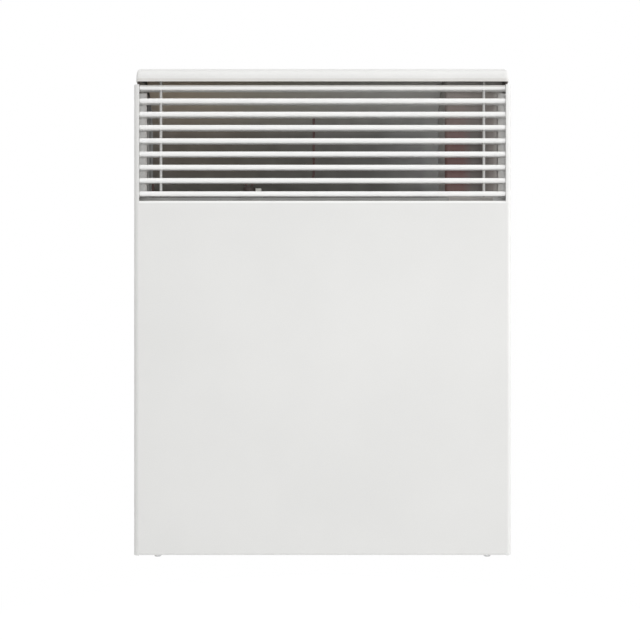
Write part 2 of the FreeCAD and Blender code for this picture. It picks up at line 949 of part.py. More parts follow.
def build_element_bracket(label, side):
    """The plate that holds one bush, folded on to the back panel."""
    body = new_body(label)
    near = element_middle + (element_half + flange_thickness) * side
    far = near + d.bracket_plate * side
    flange = near - d.bush_length * side
    tip = element_back - d.bush_flange * 0.7
    profile = polygon(
        (far, tip),
        (far, back_front),
        (flange, back_front),
        (flange, back_front - d.bracket_plate),
        (near, back_front - d.bracket_plate),
        (near, tip),
    )
    low = element_level - d.bracket_height / 2
    high = element_level + d.bracket_height / 2
    pad(body, "XY", [profile], low, high)
    bend(body, "XY", d.bracket_plate, d.toe_radius, (far, back_front), (near, back_front - d.bracket_plate))
    hole = disc(element_back, element_level, d.bush_diameter / 2 + d.hole_play)
    if side > 0:
        pocket(body, "YZ", [hole], near - CUT_PAST, far + CUT_PAST)
    else:
        pocket(body, "YZ", [hole], far - CUT_PAST, near + CUT_PAST)


# Thermal cut-out

cutout_across = -d.cutout_offset
cutout_back = shield_rear + d.cutout_diameter * 0.75
cutout_low = sill + d.cutout_rise
cutout_high = cutout_low + d.cutout_depth


def build_cutout_bracket():
    """The angle on the shield's rear face that the thermal cut-out stands on."""
    body = new_body("cutout_bracket")
    leg_low = sill - d.cutout_diameter
    leg_rear = cutout_back + d.cutout_diameter * 0.6
    profile = polygon(
        (shield_rear, leg_low),
        (shield_rear, cutout_low),
        (leg_rear, cutout_low),
        (leg_rear, cutout_low - d.skin),
        (shield_rear + d.skin, cutout_low - d.skin),
        (shield_rear + d.skin, leg_low),
    )
    left = cutout_across - d.cutout_diameter * 0.6
    right = cutout_across + d.cutout_diameter * 1.1
    pad(body, "YZ", [profile], left, right)
    inner = (shield_rear + d.skin, cutout_low - d.skin)
    bend(body, "YZ", d.skin, d.toe_radius, (shield_rear, cutout_low), inner)


def build_thermal_cutout():
    """The bimetal cut-out: a round moulded body with two tabs."""
    body = new_body("thermal_cutout")
    radius = d.cutout_diameter / 2
    pad(body, "XY", [disc(cutout_across, cutout_back, radius)], cutout_low, cutout_high)
    round_heads(body, "Z", cutout_high, d.skin)
    tab = d.skin * 0.8
    tabs = both(lambda side: rectangle(
        cutout_across + radius * 0.5 * side - tab,
        cutout_across + radius * 0.5 * side + tab,
        cutout_back - tab,
        cutout_back + tab,
    ))
    pad(body, "XY", tabs, cutout_high - d.skin, cutout_high + tab * 2)


def build_cutout_insulator():
    """The ceramic block beside the cut-out that spreads its leads."""
    body = new_body("cutout_insulator")
    left = cutout_across + d.cutout_diameter / 2 + d.play
    right = left + d.cutout_diameter * 0.45
    reach = d.cutout_diameter * 0.3
    outline = rectangle(left, right, cutout_back - reach, cutout_back + reach)
    pad(body, "XY", [outline], cutout_low, cutout_high - d.skin * 2)


# Control unit

housing_right = control_left + d.housing_width
housing_front = back_front - d.housing_depth
housing_low = bezel_low - d.housing_height
opening_left = control_left + d.bezel_margin
opening_right = housing_right - d.bezel_margin
opening_front = housing_front + d.bezel_margin
opening_rear = back_front - d.bezel_margin
well_left = opening_left + d.play + d.bezel_thickness
well_right = opening_right - d.play - d.bezel_thickness
well_front = opening_front + d.play + d.bezel_thickness
well_rear = opening_rear - d.play - d.bezel_thickness
well_floor = top - d.well_depth
well_low = well_floor - d.bezel_thickness
knob_across = well_left + d.dial_margin + d.knob_diameter / 2
knob_back = (well_front + well_rear) / 2
knob_low = well_floor + d.play * 2
rocker_across = well_right - d.rocker_width / 2 - d.skin * 2
rocker_back = well_front + d.rocker_length / 2 + d.skin * 4
rocker_level = well_low - d.rocker_pin
rocker_gap = d.rocker_length / 2 + d.housing_wall * 0.6
rocker_height = d.rocker_pin + d.bezel_thickness * 2.6
lens_across = rocker_across
lens_back = well_rear - d.lens_diameter - d.skin
board_low = bezel_low - d.board_drop


def build_control_housing():
    """The moulded box that keeps the controls apart from the warm duct."""
    body = new_body("control_housing")
    outline = rectangle(control_left, housing_right, housing_front, back_front)
    pad(body, "XY", [outline], housing_low, bezel_low)
    corners = [(x, y) for x in (control_left, housing_right) for y in (housing_front, back_front)]
    round_edges(body, d.bezel_margin, "XY", *corners)
    hollow(body, d.housing_wall, "Z", bezel_low)
    ledge = d.housing_wall * 1.5
    rail_front = housing_front + ledge * 2
    rail_rear = back_front - ledge * 2
    rails = [
        rectangle(control_left + d.skin, control_left + ledge * 2, rail_front, rail_rear),
        rectangle(housing_right - ledge * 2, housing_right - d.skin, rail_front, rail_rear),
    ]
    pad(body, "XY", rails, board_low - ledge, board_low)


def build_control_bezel():
    """The control plate: its well is sunk through the cap's opening, its flange lies under the cap."""
    body = new_body("control_bezel")
    flange_rear = rear - d.cap_rear_radius - d.play
    flange = rectangle(control_left, housing_right, housing_front, flange_rear)
    pad(body, "XY", [flange], bezel_low, ceiling)
    sink = rectangle(
        opening_left + d.play,
        opening_right - d.play,
        opening_front + d.play,
        opening_rear - d.play,
    )
    pad(body, "XY", [sink], well_low, top)
    corners = [
        (x, y)
        for x in (opening_left + d.play, opening_right - d.play)
        for y in (opening_front + d.play, opening_rear - d.play)
    ]
    round_edges(body, d.bezel_margin - d.play, "XY", *corners)
    well = rectangle(well_left, well_right, well_front, well_rear)
    pocket(body, "XY", [well], well_floor, top + CUT_PAST)
    openings = [
        disc(knob_across, knob_back, d.spindle_diameter / 2 + d.play),
        disc(lens_across, lens_back, d.lens_diameter / 2 + d.running_fit),
        rectangle(
            rocker_across - d.rocker_width / 2 - d.play,
            rocker_across + d.rocker_width / 2 + d.play,
            rocker_back - rocker_gap,
            rocker_back + rocker_gap,
        ),
    ]
    pocket(body, "XY", openings, well_low - CUT_PAST, well_floor + CUT_PAST)


def build_thermostat_knob():
    """The fluted thermostat knob with its pointer."""
    body = new_body("thermostat_knob")
    radius = d.knob_diameter / 2
    bore = d.spindle_diameter / 2 + d.running_fit
    bore_top = d.knob_height * 0.7
    edge = d.knob_height * 0.12
    outline = polygon(
        (bore, ZERO),
        (radius, ZERO),
        (radius, d.knob_height - edge),
        (radius - edge, d.knob_height),
        (ZERO, d.knob_height),
        (ZERO, bore_top),
        (bore, bore_top),
    )
    revolve(body, "XZ", outline)
    flute = disc(radius + d.skin * 0.3, ZERO, d.skin * 0.8)
    flutes = pocket(body, "XY", [flute], ZERO - CUT_PAST, d.knob_height + CUT_PAST)
    repeat_round(body, flutes, "Z", d.knob_flutes)
    pointer = rectangle(-d.skin * 0.6, d.skin * 0.6, -radius * 0.85, -radius * 0.3)
    pocket(body, "XY", [pointer], d.knob_height - d.skin * 0.6, d.knob_height + CUT_PAST)
    move(body, knob_across, knob_back, knob_low)


def build_thermostat_spindle():
    """The regulator's spindle, fast in the knob."""
    body = new_body("thermostat_spindle")
    spindle_low = well_low - d.pot_height * 0.7
    spindle_high = knob_low + d.knob_height * 0.7 - d.play
    pad(body, "XY", [disc(knob_across, knob_back, d.spindle_diameter / 2)], spindle_low, spindle_high)


def build_regulator():
    """The regulator under the bezel that the spindle turns in."""
    body = new_body("regulator")
    pad(body, "XY", [disc(knob_across, knob_back, d.pot_diameter / 2)], well_low - d.pot_height, well_low)
    bore = disc(knob_across, knob_back, d.spindle_diameter / 2 + d.running_fit)
    pocket(body, "XY", [bore], well_low - d.pot_height * 0.75, well_low + CUT_PAST)


def build_switch_frame():
    """The switch body under the bezel, with the bearings of its rocker."""
    body = new_body("switch_frame")
    inner_across = d.rocker_width / 2 + d.play
    outer_across = inner_across + d.housing_wall
    outer_along = rocker_gap + d.housing_wall
    depth = d.pot_height * 1.6
    outer = rectangle(
        rocker_across - outer_across,
        rocker_across + outer_across,
        rocker_back - outer_along,
        rocker_back + outer_along,
    )
    inner = rectangle(
        rocker_across - inner_across,
        rocker_across + inner_across,
        rocker_back - rocker_gap,
        rocker_back + rocker_gap,
    )
    pad(body, "XY", [outer], well_low - depth, well_low)
    pocket(body, "XY", [inner], well_low - depth + d.housing_wall, well_low + CUT_PAST)
    bearing = disc(rocker_back, rocker_level, d.rocker_pin / 2 + d.running_fit)
    reach = outer_across + CUT_PAST
    pocket(body, "YZ", [bearing], rocker_across - reach, rocker_across + reach)


def build_power_rocker():
    """The rocker of the power switch, resting with its rear end down."""
    body = new_body("power_rocker")
    end = d.rocker_length / 2
    outline = polygon(
        (-end, rocker_height),
        (ZERO, rocker_height * 0.8),
        (end, rocker_height),
        (end * 0.8, -d.rocker_pin),
        (ZERO, -d.rocker_pin * 1.5),
        (-end * 0.8, -d.rocker_pin),
    )
    pad(body, "YZ", [outline], -d.rocker_width / 2, d.rocker_width / 2)
    pin = d.rocker_width / 2 + d.housing_wall
    pad(body, "YZ", [disc(ZERO, ZERO, d.rocker_pin / 2)], -pin, pin)
    body.Placement.Rotation = FreeCAD.Rotation(Vector(1, 0, 0), number_of(d.rocker_throw) / -2)
    bind(body, "Placement.Rotation.Angle", d.rocker_throw / -2)
    move(body, rocker_across, rocker_back, rocker_level)


def build_indicator_lens():
    """The clear lens of the heating lamp."""
    body = new_body("indicator_lens")
    radius = d.lens_diameter / 2
    outline = polygon(
        (ZERO, -d.bezel_thickness - d.skin * 2),
        (radius + d.skin, -d.bezel_thickness - d.skin * 2),
        (radius + d.skin, -d.bezel_thickness),
        (radius, -d.bezel_thickness),
        (radius, d.skin * 0.8),
        (radius * 0.6, d.skin * 1.5),
        (ZERO, d.skin * 1.7),
    )
    revolve(body, "XZ", outline)
    move(body, lens_across, lens_back, well_floor)


def build_circuit_board():
    """The control board on the housing's rails, with its relay and capacitors."""
    body = new_body("circuit_board")
    wall = d.housing_wall + d.play
    left, right = control_left + wall, housing_right - wall
    near, far = housing_front + wall + d.skin, back_front - wall - d.skin
    high = board_low + d.board_thickness
    pad(body, "XY", [rectangle(left, right, near, far)], board_low, high)
    relay = d.pot_diameter
    relay_box = rectangle(left + relay * 0.3, left + relay * 1.3, near + relay * 0.2, near + relay * 0.9)
    pad(body, "XY", [relay_box], board_low, high + relay * 0.4)
    capacitors = [disc(left + relay * (1.6 + 0.6 * i), far - relay * 0.5, relay * 0.25) for i in range(2)]
    pad(body, "XY", capacitors, board_low, high + relay * 0.5)


# Supply side and leads

gland_across = half - d.gland_inset
gland_level = foot + d.gland_height
terminal_low = foot + d.terminal_height
terminal_rear = back_front
terminal_front = terminal_rear - d.terminal_length * 0.5
terminal_high = terminal_low + d.terminal_length * 0.5
terminal_left = gland_across - d.terminal_length / 2
sensor_across = gland_across
sensor_back = (shield_rear + back_front) / 2 - d.gland_body / 2
sensor_radius = d.gland_bore * 0.3
sensor_high = grid_high + d.gland_bore * 2


def build_cable_gland():
    """The inlet gland in the back panel, clamped by its nut."""
    body = new_body("cable_gland")
    body_round = disc(gland_across, gland_level, d.gland_body / 2)
    flange_round = disc(gland_across, gland_level, d.gland_flange / 2)
    flange = d.gland_flange / 7
    pad(body, "XZ", [flange_round], back_rear, back_rear + flange)
    pad(body, "XZ", [body_round], back_front - flange * 2, back_rear + CUT_PAST)
    bore = disc(gland_across, gland_level, d.gland_bore / 2)
    pocket(body, "XZ", [bore], back_front - flange * 2 - CUT_PAST, back_rear + flange + CUT_PAST)


def build_gland_nut():
    """The six-sided nut that pulls the gland tight from inside."""
    body = new_body("gland_nut")
    radius = d.gland_flange / 2
    corners = []
    for i in range(6):
        turn = math.radians(60 * i)
        corners.append((gland_across + radius * math.cos(turn), gland_level + radius * math.sin(turn)))
    thickness = d.gland_flange / 6
    pad(body, "XZ", [polygon(*corners)], back_front - thickness, back_front)
    hole = disc(gland_across, gland_level, d.gland_body / 2 + d.running_fit)
    pocket(body, "XZ", [hole], back_front - thickness - CUT_PAST, back_front + CUT_PAST)


def build_terminal_block():
    """The supply terminals on the back panel."""
    body = new_body("terminal_block")
    right = terminal_left + d.terminal_length
    block = rectangle(terminal_front, terminal_rear, terminal_low, terminal_high)
    pad(body, "YZ", [block], terminal_left, right)
    pole = d.terminal_length / 3
    middle = (terminal_low + terminal_high) / 2
    cut_front = terminal_front - CUT_PAST
    well = disc(terminal_left + pole / 2, middle, pole * 0.3)
    wells = pocket(body, "XZ", [well], cut_front, terminal_front + pole * 0.4)
    repeat_along(body, wells, "X", pole, 3)

    def groove(index):
        line = terminal_left + pole * index
        width = pole * 0.12
        return rectangle(line - width, line + width, terminal_low - CUT_PAST, terminal_high + CUT_PAST)

    pocket(body, "XZ", [groove(1), groove(2)], cut_front, terminal_front + pole * 0.25)


def build_sensor():
    """The room-air sensor in the inlet, and the clip on the grid that holds it."""
    body = new_body("sensor_clip")
    reach = d.gland_bore / 2
    sensor_low = grid_high + d.skin * 1.5
    base = rectangle(
        sensor_across - reach * 2,
        sensor_across + reach * 2,
        sensor_back - reach * 1.4,
        sensor_back + reach * 1.4,
    )
    post = rectangle(sensor_across - reach, sensor_across + reach, sensor_back - reach, sensor_back + reach)
    pad(body, "XY", [base], grid_high, sensor_low)
    pad(body, "XY", [post], grid_high, grid_high + reach * 2)
    bore = disc(sensor_across, sensor_back, sensor_radius + d.running_fit)
    pocket(body, "XY", [bore], sensor_low, grid_high + reach * 2 + CUT_PAST)
    sensor = new_body("temperature_sensor")
    pad(sensor, "XY", [disc(sensor_across, sensor_back, sensor_radius)], sensor_low, sensor_high)
    round_heads(sensor, "Z", sensor_high, sensor_radius * 0.5)


def build_straight_leads():
    """The leads that run straight up the wiring side: the supply pair, and the sensor's."""
    supply = new_body("supply_leads")
    pole = d.terminal_length / 3
    back = (terminal_front + terminal_rear) / 2
    pair = [disc(terminal_left + pole * (0.5 + 2 * i), back, d.lead_diameter / 2) for i in range(2)]
    pad(supply, "XY", pair, terminal_high, housing_low)
    sensor = new_body("sensor_lead")
    pad(sensor, "XY", [disc(sensor_across, sensor_back, d.lead_diameter * 0.35)], sensor_high, housing_low)


def build_lead(label, points):
    """A round lead laid along straight runs with an even bend at every corner."""
    bend_radius = number_of(d.lead_diameter) * 2
    places = [Vector(*(number_of(size) for size in point)) for point in points]
    edges = []
    start = places[0]
    for before, corner, after in zip(places, places[1:], places[2:]):
        into = (corner - before).normalize()
        out = (after - corner).normalize()
        first = corner - into * bend_radius
        last = corner + out * bend_radius
        middle = corner + (out - into).normalize() * bend_radius * (math.sqrt(2) - 1)
        edges.append(Part.LineSegment(start, first).toShape())
        edges.append(Part.Arc(first, middle, last).toShape())
        start = last
    edges.append(Part.LineSegment(start, places[-1]).toShape())
    path = Part.Wire(edges)
    heading = (places[1] - places[0]).normalize()
    ring = Part.Wire(Part.Circle(places[0], heading, number_of(d.lead_diameter) / 2).toShape())
    feature = doc.addObject("Part::Feature", label)
    feature.Label = label
    feature.Shape = path.makePipeShell([ring], True, True)


def build_bent_leads():
    """The heat-proof leads in the duct: control to cut-out, cut-out to element, element to control."""
    tab_high = cutout_high + d.skin * 1.6
    tab = d.cutout_diameter / 4
    lift = blade_level(d.blade_count - 2) + d.blade_nose * 0.75
    lane = cutout_back
    drop_across = -d.lead_drop
    lead_level = blade_level(2) + d.blade_nose * 1.1
    under_sill = sill - d.cutout_diameter * 2
    build_lead("cutout_lead", [
        (cutout_across + tab, lane, tab_high),
        (cutout_across + tab, lane, lift),
        (drop_across, lane, lift),
        (drop_across, lane, lead_level),
        (control_left, lane, lead_level),
    ])
    pin_front = element_back - terminal_pin
    reach = element_half + d.bush_length + terminal_length / 2
    build_lead("element_lead_left", [
        (element_middle - reach, pin_front, element_level),
        (element_middle - reach, lane, element_level),
        (element_middle - reach, lane, lift),
        (cutout_across - tab, lane, lift),
        (cutout_across - tab, lane, tab_high),
    ])
    build_lead("element_lead_right", [
        (element_middle + reach, pin_front, element_level),
        (element_middle + reach, lane, element_level),
        (element_middle + reach, lane, under_sill),
        (control_left, lane, under_sill),
    ])


# Wall bracket, hinge and latches

pin_back = -d.pin_setback
pin_level = foot + d.pin_height
pin_radius = d.pin_diameter / 2
saddle = pin_radius + d.running_fit
hook_notch_play = d.hook_width / 4
hook_notch_top = pin_level + d.pin_diameter * 2
latch_level = foot + d.latch_height
latch_back = -d.latch_setback
latch_low = latch_level + d.play
latch_high = latch_low + d.latch_thickness
ear_gap = d.hook_width / 2 + d.skin
ear_outer = ear_gap + d.bracket_plate


def build_wall_bracket():
    """The frame screwed to the wall, with the arms that carry the latches."""
    body = new_body("bracket_frame")
    plate = -d.bracket_sheet
    wall = ZERO
    upright_low = hook_notch_top

    def upright(side):
        width = d.upright_width / 2
        middle = bracket_half * side
        return rectangle(middle - width, middle + width, upright_low, latch_level)

    def crossbar(side):
        level = d.hole_spacing_up / 2 * side
        width = d.crossbar_height / 2
        return rectangle(-bracket_half, bracket_half, level - width, level + width)

    pad(body, "XZ", both(upright), plate, wall)
    pad(body, "XZ", both(crossbar), plate, wall)
    holes = [
        disc(d.hole_spacing_across / 2 * across, d.hole_spacing_up / 2 * up, d.hole_diameter / 2)
        for across in (-1, 1)
        for up in (-1, 1)
    ]
    pocket(body, "XZ", holes, plate - CUT_PAST, ZERO + CUT_PAST)
    arm_front = latch_back - d.latch_width

    def arm(side):
        middle = bracket_half * side
        return rectangle(middle - d.latch_width, middle + d.latch_width, arm_front, wall)

    pad(body, "XY", both(arm), latch_level - d.bracket_sheet, latch_level)
    corners = [
        (bracket_half * side + d.latch_width * end, arm_front) for side in (-1, 1) for end in (-1, 1)
    ]
    round_edges(body, d.latch_width * 0.6, "XY", *corners)
    round_edges(body, d.bracket_sheet * 0.8, "YZ", (wall, latch_level))
    round_edges(body, d.bracket_sheet * 0.5, "YZ", (plate, latch_level - d.bracket_sheet))
    rivet = d.rivet_diameter / 2 + d.running_fit
    rivet_holes = both(lambda side: disc(bracket_half * side, latch_back, rivet))
    pocket(body, "XY", rivet_holes, latch_level - d.bracket_sheet - CUT_PAST, latch_level + CUT_PAST)


def build_hook(label, side):
    """The bent strip welded to an upright's front that a pivot pin lies in."""
    body = new_body(label)
    leg_rear = -d.bracket_sheet
    leg_front = leg_rear - d.bracket_sheet
    leg_high = hook_notch_top + d.hook_lap
    arm_high = pin_level - saddle
    arm_low = arm_high - d.bracket_sheet
    tip_inner = pin_back - saddle
    tip_outer = tip_inner - d.bracket_sheet
    tip_high = pin_level + pin_radius
    profile = polygon(
        (leg_rear, leg_high),
        (leg_rear, arm_low),
        (tip_outer, arm_low),
        (tip_outer, tip_high),
        (tip_inner, tip_high),
        (tip_inner, arm_high),
        (leg_front, arm_high),
        (leg_front, leg_high),
    )
    middle = bracket_half * side
    pad(body, "YZ", [profile], middle - d.hook_width / 2, middle + d.hook_width / 2)
    tip_bend = saddle + d.bracket_sheet
    bend(body, "YZ", d.bracket_sheet, tip_bend, (tip_outer, arm_low), (tip_inner, arm_high))
    leg_bend = d.bracket_sheet * 1.5
    bend(body, "YZ", d.bracket_sheet, leg_bend, (leg_rear, arm_low), (leg_front, arm_high))


def build_latch_rivets():
    """The rivets that the latches turn on."""
    body = new_body("latch_rivets")
    arm_low = latch_level - d.bracket_sheet
    head = d.rivet_diameter * 0.4

    def discs(radius):
        return both(lambda side: disc(bracket_half * side, latch_back, radius))

    pad(body, "XY", discs(d.rivet_diameter / 2), arm_low - head, latch_high + d.play + head)
    pad(body, "XY", discs(d.rivet_diameter * 0.85), arm_low - head, arm_low)
    pad(body, "XY", discs(d.rivet_diameter * 0.85), latch_high + d.play, latch_high + d.play + head)
    round_heads(body, "Z", latch_high + d.play + head, head * 0.6)


def build_latch(label, side):
    """A latch plate on its rivet, standing open along the arm, with a finger tab at its tip."""
    body = new_body(label)
    width = d.latch_width / 2
    middle = bracket_half * side
    tip = latch_back - d.latch_reach
    outlines = (
        disc(middle, latch_back, width * 1.3),
        rectangle(middle - width, middle + width, tip, latch_back),
        disc(middle, tip, width),
    )
    for outline in outlines:
        pad(body, "XY", [outline], latch_low, latch_high)
    grip = d.latch_thickness
    finger = rectangle(middle - width * 0.7, middle + width * 0.7, tip - grip / 2, tip + grip / 2)
    pad(body, "XY", [finger], latch_low, latch_high + d.latch_thickness * 2)
    hole = disc(middle, latch_back, d.rivet_diameter / 2 + d.running_fit)
    pocket(body, "XY", [hole], latch_low - CUT_PAST, latch_high + CUT_PAST)


def build_hinge_clip(label, side):
    """The clip inside the back panel whose two ears hold a pivot pin."""
    body = new_body(label)
    middle = bracket_half * side
    plate_high = hook_notch_top + d.hook_width
    plate_front = back_front - d.bracket_plate
    base = rectangle(middle - ear_outer, middle + ear_outer, hook_notch_top + d.play, plate_high)
    pad(body, "XZ", [base], plate_front, back_front)
    reach = d.pin_diameter * 1.3
    ear = polygon(
        (back_front, plate_high),
        (back_front - reach, plate_high),
        (pin_back - reach, pin_level + reach),
        (pin_back - reach, pin_level - reach),
        (back_front, pin_level - reach),
    )
    pad(body, "YZ", [ear], middle - ear_outer, middle - ear_gap)
    pad(body, "YZ", [ear], middle + ear_gap, middle + ear_outer)
    round_edges(body, reach * 0.9, "YZ", (pin_back - reach, pin_level - reach))
    hole = disc(pin_back, pin_level, pin_radius + d.running_fit)
    pocket(body, "YZ", [hole], middle - ear_outer - CUT_PAST, middle + ear_outer + CUT_PAST)


def build_pivot_pins():
    """The two pins the heater tilts on, headed at their outer ends."""
    body = new_body("pivot_pins")
    head = d.bracket_plate
    for side in (-1, 1):
        middle = bracket_half * side
        tip = middle - (ear_outer + head) * side
        end = middle + (ear_outer + head) * side
        shoulder = middle + (ear_outer + d.running_fit) * side
        low, high = (tip, end) if side > 0 else (end, tip)
        pad(body, "YZ", [disc(pin_back, pin_level, pin_radius)], low, high)
        low, high = (shoulder, end) if side > 0 else (end, shoulder)
        pad(body, "YZ", [disc(pin_back, pin_level, pin_radius * 1.5)], low, high)


build_wall_bracket()
build_hook("hook_left", -1)
build_hook("hook_right", 1)
build_latch_rivets()
build_latch("latch_left", -1)
build_latch("latch_right", 1)
build_front_panel()
build_back_panel()
build_top_cap()
build_cap_joint("cap_joint_left", -1)
build_cap_joint("cap_joint_right", 1)
for blade_index in range(int(DIMENSIONS["blade_count"])):
    build_blade(blade_index)
build_tie_bar("tie_bar_left", -1)
build_tie_bar("tie_bar_right", 1)
build_grille_posts()
build_inlet_grid()
build_toe_screws()
build_rear_screws()
build_hinge_clip("hinge_clip_left", -1)
build_hinge_clip("hinge_clip_right", 1)
build_pivot_pins()
build_partition()
build_heat_shield()
build_air_deflector()
build_heating_element()
build_element_bush("element_bush_left", -1)
build_element_bush("element_bush_right", 1)
build_element_terminals()
build_element_bracket("element_bracket_left", -1)
build_element_bracket("element_bracket_right", 1)
build_cutout_bracket()
build_thermal_cutout()
build_cutout_insulator()
build_control_housing()
build_control_bezel()
build_thermostat_knob()
build_thermostat_spindle()
build_regulator()
build_switch_frame()
build_power_rocker()
build_indicator_lens()
build_circuit_board()
build_cable_gland()
build_gland_nut()
build_terminal_block()
build_sensor()
build_straight_leads()
build_bent_leads()

doc.recompute()

failed = [thing.Label for thing in doc.Objects if {"Invalid", "Error"} & set(thing.State)]
pieces = [thing for thing in doc.Objects if thing.TypeId in ("PartDesign::Body", "Part::Feature")]
failed += [thing.Label for thing in pieces if thing.Shape.isNull() or not thing.Shape.isValid()]
if failed:
    raise RuntimeError(f"not built: {', '.join(failed)}")

os.makedirs("parts", exist_ok=True)
for thing in pieces:
    thing.Shape.exportStep(f"parts/{thing.Label}.step")
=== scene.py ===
"""The looks of the convector heater: its finishes, the print and trim of its controls, light and camera."""

import json
import math

import bmesh
import bpy
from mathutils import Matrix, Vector


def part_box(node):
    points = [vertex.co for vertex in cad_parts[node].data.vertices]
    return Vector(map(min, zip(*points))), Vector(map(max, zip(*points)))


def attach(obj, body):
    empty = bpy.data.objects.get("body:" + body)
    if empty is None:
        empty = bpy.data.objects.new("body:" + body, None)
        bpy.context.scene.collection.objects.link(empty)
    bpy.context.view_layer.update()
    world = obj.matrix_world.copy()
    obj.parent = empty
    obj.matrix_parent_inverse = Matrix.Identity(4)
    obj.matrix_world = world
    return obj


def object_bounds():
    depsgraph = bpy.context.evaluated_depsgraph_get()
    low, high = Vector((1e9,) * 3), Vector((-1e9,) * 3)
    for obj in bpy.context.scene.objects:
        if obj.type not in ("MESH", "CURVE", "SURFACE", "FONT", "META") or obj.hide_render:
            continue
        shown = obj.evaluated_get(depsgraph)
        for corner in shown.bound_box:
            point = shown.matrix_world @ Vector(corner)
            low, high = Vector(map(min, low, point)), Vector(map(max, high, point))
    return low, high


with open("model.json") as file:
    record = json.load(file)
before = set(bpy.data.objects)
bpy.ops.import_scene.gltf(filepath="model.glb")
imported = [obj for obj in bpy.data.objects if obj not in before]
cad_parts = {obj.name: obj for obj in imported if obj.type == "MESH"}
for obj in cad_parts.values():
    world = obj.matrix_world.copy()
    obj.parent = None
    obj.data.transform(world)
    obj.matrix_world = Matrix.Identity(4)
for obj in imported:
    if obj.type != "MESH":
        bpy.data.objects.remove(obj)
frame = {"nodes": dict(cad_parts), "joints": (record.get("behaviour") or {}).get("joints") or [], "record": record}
cad_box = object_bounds()
nodes = frame["nodes"]
joints = {joint["name"]: joint for joint in frame["joints"]}
scene = bpy.context.scene

WHITE = (1.0, 1.0, 1.0)
BLACK = (0.0, 0.0, 0.0)
UP = Vector((0.0, 0.0, 1.0))


# Node helpers


# The middle of a noise's range, where nearly all of its values lie
NOISE_LOW = 0.3
NOISE_HIGH = 0.7


